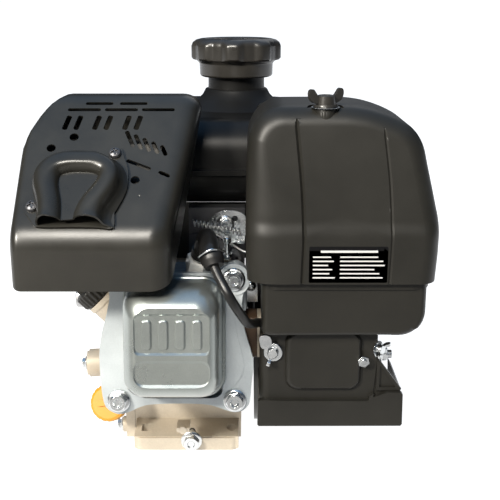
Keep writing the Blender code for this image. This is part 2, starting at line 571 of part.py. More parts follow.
tank = join(
    box_loft(((222, -68, 106, -96, 88, 22), (232, -82, 120, -112, 102, 28), (249, -84, 122, -114, 104, 29),
              (249, -87, 125, -117, 107, 31), (253, -87, 125, -117, 107, 31), (253, -84, 122, -114, 104, 29),
              (270, -83, 121, -113, 103, 29), (284, -77, 115, -106, 96, 29), (292, -64, 102, -92, 84, 26))),
    lathe(((284, 0), (284, 52), (292, 44), (300, 32), (309, 27), (310, 25.5), (319, 25), (319, 0)),
          (CAP_X, CAP_Y, 0), (0, 0, 1), 24))
tank = cut(tank,
           box_loft(((225, -66, 104, -94, 86, 20), (234, -79, 117, -109, 99, 26), (270, -80, 118, -110, 100, 27),
                     (282, -74, 112, -103, 93, 27), (289, -62, 100, -90, 82, 24))),
           rod((CAP_X, CAP_Y, 280), (CAP_X, CAP_Y, 320), 21, sides=24))
tank = cut(join(tank, rod((55.5, -86, 223.5), (55.5, -86, 214), 3.6, sides=10)),
           rod((55.5, -86, 228), (55.5, -86, 213), 1.8, sides=10))
node("fuel_tank", tank, "black_plastic")
lobes = []
for k in range(32):
    a = 2 * math.pi * k / 32
    radius = 38.2 + 1.5 * min(1.0, max(-1.0, 1.6 * math.cos(8 * a)))
    lobes.append((CAP_X + radius * math.cos(a), CAP_Y + radius * math.sin(a)))
cap = join(prism(lobes, "Z", 334, 349),
           lathe(((333, 0), (333, 36), (334.5, 36), (349, 37), (351.5, 34), (352.7, 26), (352.7, 0)),
                 (CAP_X, CAP_Y, 0), (0, 0, 1), 20),
           lathe(((319.4, 0), (319.4, 30), (321, 32.5), (331, 32.5), (334, 35), (334, 0)), (CAP_X, CAP_Y, 0),
                 (0, 0, 1), 22),
           rod((CAP_X, CAP_Y, 320), (CAP_X, CAP_Y, 306), 20.0, sides=24))
node("fuel_cap", cap, "black_plastic", (CAP_X, CAP_Y, 330))
HOSE = ((55.5, -86, 213.2), (55.5, -86, 208), (55.5, -92, 203), (55.5, -104, 200), (55.5, -114, 194),
        (55.5, -119, 184), (55.5, -123, 172), (55.5, -124.5, 130), (56, -124.5, 112), (62, -125, 104),
        (72, -127, 101), (77, -131, 101), (78, -135.4, 101))
cord("fuel_hose", HOSE, 3.0, "rubber")
bracket = join(block(4, 50, -113, -110.5, 173, 221.7), block(4, 50, -113, -98, 219.7, 221.7),
               block(4, 50, -113, -98, 173, 175))
node("tank_bracket", bracket, "black_steel")

# ---- carburettor and its moving parts ----

PORT = in_world(0, 158, 0)


def from_port(x, y, z):
    return Vector((x, PORT.y + y, PORT.z + z))


spacer = cut(prism(rounded(PORT.y - 14, PORT.y + 14, PORT.z - 17, PORT.z + 17, 5), "X", 47.4, 59.6),
             rod(from_port(46, 0, 0), from_port(61, 0, 0), 10, sides=20))
node("carburetor_insulator", spacer, "resin")
THROTTLE_X, CHOKE_X = 68.0, 92.0
carb = join(rod(from_port(60, 0, 0), from_port(100, 0, 0), 15, sides=20),
            prism(rounded(PORT.y - 14, PORT.y + 14, PORT.z - 17, PORT.z + 17, 5, 2), "X", 60, 64),
            rod(from_port(80, 0, -26), from_port(80, 0, 0), 11),
            rod(from_port(80, 0, -43), from_port(80, 0, -22), 15.5, sides=20),
            rod(from_port(78, 2, -28.4), from_port(78, 20, -28.4), 3.4, sides=10),
            prism(rounded(PORT.y - 14, PORT.y + 14, PORT.z - 14, PORT.z + 14, 5, 2), "X", 96, 100))
carb = cut(carb, rod(from_port(59, 0, 0), from_port(101, 0, 0), 10, sides=20),
           *[rod(from_port(x, 0, -12.5), from_port(x, 0, 20), 2.4, sides=10) for x in (THROTTLE_X, CHOKE_X)])
node("carburetor", carb, "cast")
for name, x, reach in (("throttle_shaft", THROTTLE_X, 12), ("choke_shaft", CHOKE_X, 8)):
    butterfly = join(rod(from_port(x, 0, -11.5), from_port(x, 0, 24), 2, sides=10),
                     rod(from_port(x - 0.6, 0, 0), from_port(x + 0.6, 0, 0), 9.3, sides=16),
                     prism(rounded(x - 4, x + 4, PORT.y - 3.5, PORT.y + reach, 3), "Z", PORT.z + 19, PORT.z + 21.5))
    node(name, butterfly, "brass", from_port(x, 0, 0))
LEVER_AT = (36, -121, 184)
lever = join(prism(rounded(32, 40, -142, -117, 3.5), "Z", 188, 190), rod((36, -121, 180.4), (36, -121, 193), 4),
             rod((36, -138, 189), (36, -138, 203), 2.2, sides=10))
node("speed_control_lever", lever, "zinc", LEVER_AT)

# ---- air cleaner ----

BASE_FRONT, BASE_BACK = -203.0, -121.0
base = box_loft(((144, 63, 178, BASE_FRONT, BASE_BACK, 12), (187, 62, 185, BASE_FRONT - 1, BASE_BACK, 14)))
base = cut(base,
           box_loft(((143, 65, 176, BASE_FRONT + 2, BASE_BACK - 2, 10), (160, 65, 176, BASE_FRONT + 2,
                                                                          BASE_BACK - 2, 10))),
           box_loft(((163, 65, 179, BASE_FRONT + 2, BASE_BACK - 2, 11), (188, 64.5, 182.5, BASE_FRONT + 1.5,
                                                                          BASE_BACK - 2, 12))))
base = join(base, rod(from_port(100.4, 0, 0), from_port(128, 0, 0), 14.5, sides=20),
            rod(from_port(116, 0, 0), from_port(116, 0, 40), 14, sides=20),
            rod((*CLEANER_STUD, 160), (*CLEANER_STUD, 319), 3.0, sides=12))
base = cut(base, rod(from_port(100, 0, 0), from_port(122, 0, 0), 10.5, sides=16),
           rod(from_port(116, 0, -6), from_port(116, 0, 42), 10.5, sides=16),
           rod((60, -182, 147.5), (67, -182, 147.5), 9, sides=12), block(60, 67, -179, -133.5, 142, 154))
node("air_cleaner_base", base, "black_plastic")


def cleaner_section(y, inset, lean):
    """Front view of the cover: shallow shoulder on the left, long falling shoulder on the right."""
    outline = ((52, 187.4), (51, 228), (52.5, 286), (56, 299), (64, 308.5), (74, 313), (126, 313), (148, 309),
               (168, 300), (176, 292), (180, 279), (187, 250), (192, 228), (190.5, 187.4))
    centre = Vector((122, 250))
    ring = []
    for x, z in outline:
        toward = centre - Vector((x, z))
        shift = Vector((math.copysign(min(inset, abs(toward.x)), toward.x),
                        math.copysign(min(inset, abs(toward.y)), toward.y)))
        high = z + shift.y if z > 188 else z
        ring.append((x + shift.x, y + lean * max(0.0, high - 228), high))
    return ring


cover = loft([cleaner_section(*s) for s in ((-211, 13, 0.16), (-208.5, 7, 0.16), (-203, 2.5, 0.15), (-195, 0, 0.14),
                                             (-130, 0, 0), (-123, 1.5, 0), (-120.5, 6, 0))])
hollow = loft([[(x, y, z if z > 188 else 186) for x, y, z in cleaner_section(*s)] for s in (
    (-208, 14, 0.16), (-203, 6, 0.15), (-195, 2.6, 0.14), (-130, 2.6, 0), (-124.5, 5, 0))])
cover = join(cut(cover, hollow), rod((*CLEANER_STUD, 300), (*CLEANER_STUD, 312.2), 11))
cover = cut(cover, rod((*CLEANER_STUD, 312.2), (*CLEANER_STUD, 330), 16, sides=20))
cover = cut(cover, rod((*CLEANER_STUD, 290), (*CLEANER_STUD, 330), 4, sides=12))
node("air_cleaner_cover", cover, "black_plastic", (122, -165, 250))
element = cut(box_loft(((163.4, 70, 172, -195, -130, 14), (262, 78, 178, -190, -130, 14))),
              box_loft(((162, 86, 156, -179, -140, 8), (256, 92, 162, -176, -140, 8))),
              rod((*CLEANER_STUD, 160), (*CLEANER_STUD, 270), 5, sides=12))
node("air_filter_element", element, "foam")
wing = lathe(((312.5, 3.4), (312.5, 7.5), (318, 7), (321, 6), (321, 3.4)), (*CLEANER_STUD, 0), (0, 0, 1), 20)
for side in (-1, 1):
    ear = prism(((side * 4, 313.5), (side * 12, 316), (side * 14.5, 324), (side * 11.5, 325.5), (side * 7, 320),
                 (side * 4, 319.5)), "Y", -1.3, 1.3)
    wing = join(wing, move(ear, Matrix.Translation((CLEANER_STUD[0], CLEANER_STUD[1], 0))))
node("wing_nut", wing, "zinc", (*CLEANER_STUD, 312))

DUCT_FRONT = -188.0
duct = join(
    cut(box_loft(((67, 61, 173, DUCT_FRONT, -124, 8), (143.4, 62, 170, DUCT_FRONT, -124, 8))),
        box_loft(((69, 63.2, 171, DUCT_FRONT + 2.2, -120, 6), (145, 64.2, 168, DUCT_FRONT + 2.2, -120, 6))),
        block(60, 65, -173, -119, 88, 145)),
    prism(rounded(84, 138, 92, 143, 8), "Y", DUCT_FRONT - 4.5, DUCT_FRONT + 1),
    prism(rounded(60, 171, 66, 84, 4), "Y", DUCT_FRONT - 4, DUCT_FRONT + 1),
)
duct = cut(duct, rod((56, -182, 147.5), (67, -182, 147.5), 9, sides=12),
           prism(((174, 145), (152, 145), (152, 112), (174, 84.1)), "Y", -200, -120),
           rod((72, DUCT_FRONT - 6, 126), (72, DUCT_FRONT + 6, 126), 3.6, sides=10))
node("air_duct", duct, "black_plastic")
node("duct_bolt_left", hex_bolt((72, DUCT_FRONT, 126), (0, -1, 0), 10, 9, 4, 3, 8), "zinc")
node("duct_bolt_right", hex_bolt((152, -180, 121), (1, 0, 0), 10, 8, 1, 3, 12), "zinc")

# ---- exhaust ----

MUFFLER_SIDE = ((-204, 212), (-204, 236), (-158, 282), (-130, 282), (-122, 274), (-122, 212))
MUFFLER_INSIDE = ((-202, 214), (-202, 235), (-157, 280), (-130.8, 280), (-124, 273.2), (-124, 214))
muffler = cut(prism(MUFFLER_SIDE, "X", -100, -12), prism(MUFFLER_INSIDE, "X", -98, -14))
pipe = tilted(rod((-26, -158, 54), (-26, -158, 90), 12.5))
muffler = join(muffler, pipe, tilted(prism(rounded(-46, -6, -170, -146, 6), "Z", 52.3, 57)))
OUTLET, SLOPE_NORMAL = Vector((-66, -189, 252)), Vector((0, -1, 1)).normalized()
muffler = cut(muffler, tilted(rod((-26, -158, 50), (-26, -158, 96), 10.5)),
              rod(OUTLET - SLOPE_NORMAL * 12, OUTLET + SLOPE_NORMAL * 3, 9, sides=16))
node("muffler", muffler, "steel")

GUARD_ROOF, GUARD_BACK = 315.0, -119.5
GUARD_SIDE = ((-226, 187), (-226, 222), (-223.5, 228), (-219, 233), (-146, 306), (-139, 312), (-131, GUARD_ROOF),
              (GUARD_BACK, GUARD_ROOF), (GUARD_BACK, 206))


def guard_ring(x, flare, drop, wall):
    """Side outline of the guard at x: flare moves it right towards the top, drop lowers the roof."""
    ring = []
    for i, (y, z) in enumerate(GUARD_SIDE):
        roof = GUARD_ROOF - drop - wall
        if i < 8:
            y, z = y + wall, z - (wall * 0.45 if 1 < i < 7 else 0)
        if z > roof:
            if 2 < i < 6:
                y -= z - roof
            z = roof
        if i in (0, 8):
            z -= 6 * wall
        if i in (7, 8):
            y += 3 * wall
        ring.append((x + flare * min(1.0, max(0.0, (z - 226) / 84)), y, z))
    return ring


outer = loft([guard_ring(-115, 0, 34, 0), guard_ring(-108, 0, 20, 0), guard_ring(-84, 0, 0, 0),
              guard_ring(-20, 19, 0, 0), guard_ring(-7, 19, 4, 0), guard_ring(-1, 19, 14, 0)])
inner = loft([guard_ring(-113.2, 0, 34, 1.8), guard_ring(-107, 0, 20, 1.8), guard_ring(-84, 0, 0, 1.8),
              guard_ring(-20, 19, 0, 1.8), guard_ring(-8, 19, 4, 1.8), guard_ring(-2.8, 19, 14, 1.8)])
guard = cut(outer, inner, rod(OUTLET - SLOPE_NORMAL * 2, OUTLET + SLOPE_NORMAL * 20, 10))
node("muffler_guard", guard, "black_steel")


SLOPE_TURN = Matrix.Translation(Vector((0, -226, 226))) @ Matrix.Rotation(math.radians(45), 4, "X")


def sloped(obj):
    """From the slope's own frame: x, y up the slope, z out of it."""
    return move(obj, SLOPE_TURN)


hood = join(prism(rounded(-104, -28, 17, 79, 10), "Z", 0.4, 2.2),
            box_loft((
                (1, -100, -32, 1, 61, 14), (12, -97, -35, 3, 59, 16), (20, -92, -40, 7, 53, 16),
                (23, -84, -48, 15, 45, 12))))
hood = cut(hood, box_loft(((0, -98, -34, -4, 59, 12), (12, -95, -37, -4, 57, 12), (18.6, -90, -42, -4, 51, 12),
                           (21, -83, -49, -4, 44, 10))))
node("exhaust_deflector", sloped(hood), "black_steel")

# ---- caps that are opened by hand ----

oil_cap = join(rod(NECK_END + NECK_AXIS * GAP, NECK_END + NECK_AXIS * 15, 17, sides=12),
               rod(NECK_END - NECK_AXIS * 14, NECK_END + NECK_AXIS * 2, 8.8))
node("upper_oil_cap", oil_cap, "black_plastic", NECK_END)
stick = join(lathe(((GAP, 0), (GAP, 15), (3, 16.5), (9, 16.5), (12, 14), (12, 0)), STICK_END, STICK_AXIS, 20),
             rod(STICK_END - STICK_AXIS * 12, STICK_END + STICK_AXIS, 6.6),
             rod(STICK_END - STICK_AXIS * 28, STICK_END - STICK_AXIS * 11, 2.5, sides=8))
node("oil_dipstick", stick, "yellow", STICK_END)
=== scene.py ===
"""Looks of a small horizontal-shaft petrol engine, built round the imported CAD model.

Shapes are drawn in millimetres in the CAD frame (+Z up, crankshaft along X, cylinder towards -Y) and turned into
metres by piece().
"""

from math import copysign, cos, exp, pi, radians, sin, sqrt

import bmesh
import bpy
from mathutils import Matrix, Vector


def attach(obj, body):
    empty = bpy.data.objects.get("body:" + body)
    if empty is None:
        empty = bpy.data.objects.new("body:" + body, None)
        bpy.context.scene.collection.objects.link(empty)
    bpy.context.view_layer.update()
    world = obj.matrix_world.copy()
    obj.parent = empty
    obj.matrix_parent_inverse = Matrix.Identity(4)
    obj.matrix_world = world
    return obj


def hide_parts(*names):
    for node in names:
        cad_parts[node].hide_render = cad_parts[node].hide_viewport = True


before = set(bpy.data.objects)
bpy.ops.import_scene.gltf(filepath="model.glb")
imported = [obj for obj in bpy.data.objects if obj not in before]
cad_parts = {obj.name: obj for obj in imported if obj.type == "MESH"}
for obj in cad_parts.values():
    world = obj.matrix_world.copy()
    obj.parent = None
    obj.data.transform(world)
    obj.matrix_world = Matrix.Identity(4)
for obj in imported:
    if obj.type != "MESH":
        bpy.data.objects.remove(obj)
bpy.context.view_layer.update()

TILT = Matrix.Translation((0, 0, 106)) @ Matrix.Rotation(radians(-8.5), 4, "X")
SLOPE = Matrix.Translation((0, -226, 226)) @ Matrix.Rotation(radians(45), 4, "X")
CRANK = Vector((0, 0, 106))
STUD = (108, -188)  # x and y of the air cleaner's stud
FILLER = (42, -12, 0)  # middle of the fuel tank's neck
LEAN = 0.155  # how far the air cleaner's front leans back for each mm of height
CLEANER_FRONT = -211
SHEET = 1.5  # wall of the muffler guard
MERGE = 1e-4  # points nearer than this are one
METRE = 0.001


# ---- shapes, in millimetres ----

def add(data):
    """Puts a mesh, lamp or camera into the scene as an object of its own."""
    obj = bpy.data.objects.new(data.name, data)
    bpy.context.scene.collection.objects.link(obj)
    return obj


def add_drawn(bm):
    mesh = bpy.data.meshes.new("shape")
    bm.to_mesh(mesh)
    bm.free()
    return add(mesh)


def thing(bm):
    bmesh.ops.remove_doubles(bm, verts=bm.verts, dist=MERGE)
    bmesh.ops.recalc_face_normals(bm, faces=bm.faces)
    return add_drawn(bm)


def loft(rings, caps=True):
    bm = bmesh.new()
    rows = [[bm.verts.new(p) for p in ring] for ring in rings]
    for low, high in zip(rows, rows[1:]):
        for i in range(len(low)):
            j = (i + 1) % len(low)
            bm.faces.new((low[i], low[j], high[j], high[i]))
    if caps:
        bm.faces.new(rows[0])
        bm.faces.new(rows[-1])
    return thing(bm)


def prism(outline, axis, low, high):
    place = {"X": lambda u, v, w: (w, u, v), "Y": lambda u, v, w: (u, w, v), "Z": lambda u, v, w: (u, v, w)}[axis]
    return loft([[place(u, v, w) for u, v in outline] for w in (low, high)])


def rounded(u0, u1, v0, v1, radius, steps=6):
    points = []
    for u, v, start in ((u1 - radius, v1 - radius, 0), (u0 + radius, v1 - radius, 90),
            (u0 + radius, v0 + radius, 180), (u1 - radius, v0 + radius, 270)):
        for k in range(steps + 1):
            a = radians(start + 90 * k / steps)
            points.append((u + radius * cos(a), v + radius * sin(a)))
    return points


def spline(p0, p1, p2, p3, steps):
    """Points of a Catmull-Rom curve from p1 up to p2, without p2."""
    return [0.5 * (2 * p1 + (p2 - p0) * t + (2 * p0 - 5 * p1 + 4 * p2 - p3) * t * t
            + (3 * p1 - p0 - 3 * p2 + p3) * t ** 3) for t in (k / steps for k in range(steps))]


def smooth_outline(points, steps=5):
    """Closed smooth curve through the points."""
    n, out = len(points), []
    for i in range(n):
        out += map(tuple, spline(*(Vector(points[(i + k) % n]) for k in (-1, 0, 1, 2)), steps))
    return out


def block(x0, x1, y0, y1, z0, z1):
    return prism(((x0, y0), (x1, y0), (x1, y1), (x0, y1)), "Z", z0, z1)


def lathe(profile, origin=(0, 0, 0), axis=(0, 0, 1), sides=48):
    """Turned body: profile holds (distance along the axis, radius). It runs closed if no end radius is 0."""
    direction = Vector(axis).normalized()
    side = direction.orthogonal().normalized()
    other = direction.cross(side)
    origin = Vector(origin)
    bm = bmesh.new()
    rows = []
    for along, radius in profile:
        centre = origin + direction * along
        if radius == 0:
            rows.append([bm.verts.new(centre)] * sides)
        else:
            rows.append([bm.verts.new(centre + radius * (side * cos(a) + other * sin(a)))
                    for a in (2 * pi * k / sides for k in range(sides))])
    pairs = list(zip(rows, rows[1:]))
    if profile[0][1] and profile[-1][1]:
        pairs.append((rows[-1], rows[0]))
    for low, high in pairs:
        for i in range(sides):
            j = (i + 1) % sides
            corners = list(dict.fromkeys((low[i], low[j], high[j], high[i])))
            if len(corners) > 2:
                bm.faces.new(corners)
    return thing(bm)


def rod(start, end, radius, sides=40):
    length = (Vector(end) - Vector(start)).length
    return lathe(((0, 0), (0, radius), (length, radius), (length, 0)), start, Vector(end) - Vector(start), sides)


def bar(axis, u, v, low, high, radius, sides=40):
    """Rod along an axis, from low to high on it, at (u, v) on the other two in their order."""
    place = {"X": lambda w: (w, u, v), "Y": lambda w: (u, w, v), "Z": lambda w: (u, v, w)}[axis]
    return rod(place(low), place(high), radius, sides=sides)


def path_points(points, spacing, steps=None):
    """Open smooth curve through the points, with a step for each spacing or a set number of steps."""
    out, last = [], len(points) - 1
    for i in range(last):
        ends = [Vector(points[max(0, min(last, j))]) for j in (i - 1, i, i + 1, i + 2)]
        out += spline(*ends, steps or max(1, round((ends[2] - ends[1]).length / spacing)))
    return out + [Vector(points[-1])]


def tube(points, section, spacing=1.5):
    """Sweeps a section, a radius or an outline (u, v), along a smooth curve through the points."""
    if not isinstance(section, (list, tuple)):
        section = [(section * cos(a), section * sin(a)) for a in (2 * pi * k / 20 for k in range(20))]
    line = path_points(points, spacing)
    tangent = (line[1] - line[0]).normalized()
    normal = tangent.orthogonal().normalized()
    rings = []
    for i, p in enumerate(line):
        new = (line[min(i + 1, len(line) - 1)] - line[max(i - 1, 0)]).normalized()
        normal = (tangent.rotation_difference(new) @ normal).normalized()
        tangent = new
        other = tangent.cross(normal)
        rings.append([p + normal * u + other * v for u, v in section])
    return loft(rings)


def closed(mesh):
    bm = bmesh.new()
    bm.from_mesh(mesh)
    answer = all(edge.is_manifold for edge in bm.edges)
    bm.free()
    return answer


def evaluated(obj):
    """Mesh of an object with its modifiers, which are then removed."""
    mesh = bpy.data.meshes.new_from_object(obj.evaluated_get(bpy.context.evaluated_depsgraph_get()))
    obj.modifiers.clear()
    return mesh


def boolean(operation, base, others):
    for other in others:
        for solver in ("EXACT", "MANIFOLD"):
            step = base.modifiers.new("step", "BOOLEAN")
            step.operation, step.solver, step.object = operation, solver, other
            mesh = evaluated(base)
            if closed(mesh):
                break
        base.data = mesh
        bpy.data.objects.remove(other)
    return base


def join(base, *others):
    return boolean("UNION", base, others)


def cut(base, *others):
    return boolean("DIFFERENCE", base, others)


def common(base, *others):
    return boolean("INTERSECT", base, others)


def together(*objects):
    """One mesh out of several bodies that touch, kept as separate shells."""
    bm = bmesh.new()
    for obj in objects:
        bm.from_mesh(obj.data)
        bpy.data.objects.remove(obj)
    return add_drawn(bm)


def move(obj, matrix):
    obj.data.transform(matrix)
    return obj


def turned(obj, degrees, axis, centre=(0, 0, 0)):
    there = Matrix.Translation(centre)
    return move(obj, there @ Matrix.Rotation(radians(degrees), 4, axis) @ there.inverted())


def aimed(obj, place, direction):
    """Moves a shape drawn up +Z from the origin so that it points along the direction from the place."""
    turn = Vector((0, 0, 1)).rotation_difference(Vector(direction).normalized()).to_matrix().to_4x4()
    return move(obj, Matrix.Translation(place) @ turn)


def shifted(obj, x, y, z):
    return move(obj, Matrix.Translation((x, y, z)))


def in_world(x, along, up):
    return TILT @ Vector((x, -along, up))


# ---- finishes ----

def node(tree, kind, inputs=None, **settings):
    """Adds a shader node, with values for its sockets and its own settings."""
    made = tree.nodes.new("ShaderNode" + kind)
    for socket, value in (inputs or {}).items():
        made.inputs[socket].default_value = value
    for name, value in settings.items():
        setattr(made, name, value)
    return made


def finish(name, colour, metallic, rough, vary, grain, bump, depth, patch, patch_rough, second=None, spec=0.5):
    """Surface with mottled colour, patchy gloss and fine relief."""
    made = bpy.data.materials.new(name)
    made.use_nodes = True
    tree, link = made.node_tree, made.node_tree.links.new
    shader = tree.nodes["Principled BSDF"]
    shader.inputs["Metallic"].default_value = metallic
    shader.inputs["Specular IOR Level"].default_value = spec
    place = node(tree, "TexCoord")
    large = node(tree, "TexNoise", {"Scale": patch, "Detail": 5.0, "Roughness": 0.6})
    fine = node(tree, "TexNoise", {"Scale": grain, "Detail": 6.0, "Roughness": 0.6})
    for cloud in (large, fine):
        link(place.outputs["Object"], cloud.inputs["Vector"])
    share = node(tree, "Math", {1: 0.65}, operation="MULTIPLY")
    mixed = node(tree, "Math", {1: 0.35}, operation="MULTIPLY_ADD")
    link(large.outputs["Fac"], share.inputs[0])
    link(fine.outputs["Fac"], mixed.inputs[0])
    link(share.outputs[0], mixed.inputs[2])
    ramp = node(tree, "ValToRGB")
    dark = tuple(c * (1 - vary) for c in colour)
    light = second or tuple(min(1.0, c * (1 + vary)) for c in colour)
    for stop, position, shade in zip(ramp.color_ramp.elements, (0.35, 0.68), (dark, light)):
        stop.position, stop.color = position, (*shade, 1)
    link(mixed.outputs[0], ramp.inputs["Fac"])
    link(ramp.outputs["Color"], shader.inputs["Base Color"])
    gloss = node(tree, "MapRange", {"From Min": 0.3, "From Max": 0.7, "To Min": max(0.04, rough - patch_rough),
            "To Max": rough + patch_rough})
    link(large.outputs["Fac"], gloss.inputs["Value"])
    link(gloss.outputs[0], shader.inputs["Roughness"])
    relief = node(tree, "Bump", {"Strength": bump, "Distance": depth})
    link(fine.outputs["Fac"], relief.inputs["Height"])
    link(relief.outputs["Normal"], shader.inputs["Normal"])
    return made


# look: name, colour, metallic, roughness, colour variation, grain, bump, relief depth, patch size, patch gloss,
# lighter colour, specular level
FINISH = {look: finish(*row) for look, row in {
        "paint": ("satin_black_paint", (0.0195, 0.0183, 0.0147), 0.0, 0.31, 0.25, 1400, 0.10, 0.00006, 22, 0.04),
        "plastic": ("moulded_black_plastic", (0.0145, 0.0136, 0.011), 0.0, 0.43, 0.2, 2600, 0.22, 0.00005, 16,
            0.04, None, 0.33),
        # tank: black plastic whose colour is set darker than the other black plastic as painted shade, standing in
        # for the guard's shadow over the tank front
        "tank": ("tank_plastic", (0.007, 0.0068, 0.0065), 0.0, 0.38, 0.2, 2600, 0.18, 0.00005, 16, 0.04, None,
            0.18),
        "cap": ("glossy_black_plastic", (0.024, 0.022, 0.019), 0.0, 0.30, 0.2, 1800, 0.08, 0.00005, 30, 0.05),
        "rubber": ("black_rubber", (0.010, 0.0095, 0.009), 0.0, 0.36, 0.3, 1500, 0.25, 0.00008, 40, 0.06, None,
            0.4),
        # cast: aluminium whose beige tint is partly painted warm sunlight
        "cast": ("cast_aluminium", (0.53, 0.465, 0.37), 0.35, 0.50, 0.08, 700, 0.35, 0.00018, 25, 0.06,
            (0.61, 0.54, 0.435)),
        # head: blasted aluminium whose bluish tint is partly a painted reflection of blue sky
        "head": ("blasted_aluminium", (0.56, 0.605, 0.625), 0.55, 0.42, 0.06, 900, 0.25, 0.00010, 30, 0.06,
            (0.635, 0.68, 0.70)),
        "cover": ("pressed_cover_metal", (0.335, 0.36, 0.345), 0.85, 0.30, 0.08, 1300, 0.15, 0.00006, 22, 0.05,
            (0.425, 0.455, 0.435)),
        "zinc": ("zinc_plate", (0.62, 0.64, 0.65), 1.0, 0.24, 0.12, 1200, 0.15, 0.00006, 90, 0.08,
            (0.80, 0.82, 0.83)),
        "steel": ("bare_steel", (0.45, 0.45, 0.45), 1.0, 0.33, 0.15, 900, 0.15, 0.00006, 40, 0.1),
        "dull": ("grey_steel", (0.10, 0.10, 0.105), 0.7, 0.42, 0.2, 900, 0.2, 0.00006, 30, 0.08),
        "iron": ("cast_iron", (0.10, 0.096, 0.09), 0.8, 0.55, 0.25, 500, 0.5, 0.0002, 30, 0.08),
        "yellow": ("yellow_plastic", (0.52, 0.235, 0.012), 0.0, 0.38, 0.08, 1500, 0.1, 0.00005, 30, 0.06),
        "foam": ("filter_foam", (0.10, 0.09, 0.07), 0.0, 0.9, 0.4, 700, 0.9, 0.0006, 60, 0.05),
        "ceramic": ("glazed_ceramic", (0.75, 0.75, 0.72), 0.0, 0.15, 0.04, 800, 0.05, 0.00004, 30, 0.03),
        "resin": ("brown_resin", (0.07, 0.04, 0.022), 0.0, 0.5, 0.25, 700, 0.4, 0.0001, 40, 0.08),
        "brass": ("turned_brass", (0.65, 0.47, 0.22), 1.0, 0.28, 0.1, 900, 0.12, 0.00005, 40, 0.08),
        "label": ("label_film", (0.004, 0.004, 0.0045), 0.0, 0.30, 0.1, 1500, 0.05, 0.00004, 20, 0.04, None, 0.15),
        "print": ("label_print", (0.55, 0.55, 0.54), 0.0, 0.5, 0.03, 1500, 0.05, 0.00004, 20, 0.04, None,
            0.2)}.items()}


def round_edges(obj, width, segments, angle):
    step = obj.modifiers.new("edges", "BEVEL")
    step.width, step.segments, step.limit_method = width * METRE, segments, "ANGLE"
    step.angle_limit = radians(angle)
    return step


def dress(obj, look):
    obj.data.materials.clear()
    obj.data.materials.append(FINISH[look])


def piece(name, obj, look, body="engine", cad=None, bevel=0.0, segments=3, angle=32):
    """Turns a drawn shape into a piece: metres, rounded edges, finish and body, and hides the CAD part it stands
    for.
    """
    obj.name = obj.data.name = name
    obj.data.transform(Matrix.Scale(METRE, 4))
    bm = bmesh.new()
    bm.from_mesh(obj.data)
    bmesh.ops.remove_doubles(bm, verts=bm.verts, dist=2e-6)
    bmesh.ops.dissolve_degenerate(bm, edges=bm.edges, dist=1e-6)
    bm.to_mesh(obj.data)
    bm.free()
    obj.data.shade_smooth()
    if bevel:
        step = round_edges(obj, bevel, segments, angle)
        step.use_clamp_overlap, step.harden_normals, step.miter_outer = True, False, "MITER_ARC"
        weighted = obj.modifiers.new("shading", "WEIGHTED_NORMAL")
        weighted.keep_sharp, weighted.weight = True, 80
    else:
        obj.data.set_sharp_from_angle(angle=radians(38))
    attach(obj, body)
    if cad:
        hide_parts(cad)
    dress(obj, look)
    return obj


def flange_bolt(place, direction, across, flange, head, dish=1.2, sides=36):
    """Hexagon head with a washer face, chamfered corners and a shallow dish in its top."""
    r = across / sqrt(3)
    hexagon = prism([(r * cos(radians(60 * k + 12)), r * sin(radians(60 * k + 12)))
            for k in range(6)], "Z", 0.6, head)
    cone = lathe(((0, 0), (0, r + 2), (head - 1.6, r + 0.1), (head, r * 0.84), (head, 0)), sides=sides)
    top = cut(common(hexagon, cone), lathe(((head - dish, 0), (head - dish, r * 0.36), (head + 1, r * 0.62),
                (head + 1, 0)), sides=sides))
    washer = lathe(((0, 0), (0, flange - 0.3), (0.4, flange), (1.3, flange), (1.9, flange - 0.8), (2.3, r + 0.2),
            (2.3, 0)), sides=sides)
    return aimed(join(washer, top), place, direction)


def cross_screw(place, direction, radius, height):
    """Pan head with a cross recess."""
    head = lathe(((-1, 0), (-1, radius), (height * 0.35, radius), (height * 0.75, radius * 0.86),
            (height, radius * 0.5), (height, 0)), sides=32)
    w = radius * 0.16
    head = cut(head, block(-radius * 0.6, radius * 0.6, -w, w, height - 1.5, height + 1),
        block(-w, w, -radius * 0.6, radius * 0.6, height - 1.5, height + 1))
    return aimed(turned(head, 20, "Z"), place, direction)


def sloped(obj):
    return move(obj, SLOPE)


def tilted(obj):
    return move(obj, TILT)


# ---- muffler guard: pressed sheet with a front lip, a slope and a short roof ----

def arc(y, z, radius, start, stop, steps):
    """Points on an arc with the outward direction at each, angles in degrees from -Y towards +Z."""
    out = []
    for k in range(steps + 1):
        a = radians(start + (stop - start) * k / steps)
        n = Vector((-cos(a), sin(a)))
        out.append((Vector((y, z)) + n * radius, n))
    return out


def straight(a, b, steps):
    a, b = Vector(a), Vector(b)
    t = (b - a).normalized()
    n = Vector((-t.y, t.x))
    return [(a.lerp(b, k / steps), n) for k in range(1, steps)]


GUARD = ([(Vector((-226, 187)), Vector((-1, 0)))] + straight((-226, 187), (-226, 214.4), 4)
    + arc(-198, 214.4, 28, 0, 45, 14) + straight((-217.8, 234.2), (-143.59, 308.41), 14)
    + arc(-127.68, 292.5, 22.5, 45, 90, 8) + straight((-127.68, 315), (-119.5, 315), 2)
    + [(Vector((-119.5, 315)), Vector((0, 1)))])


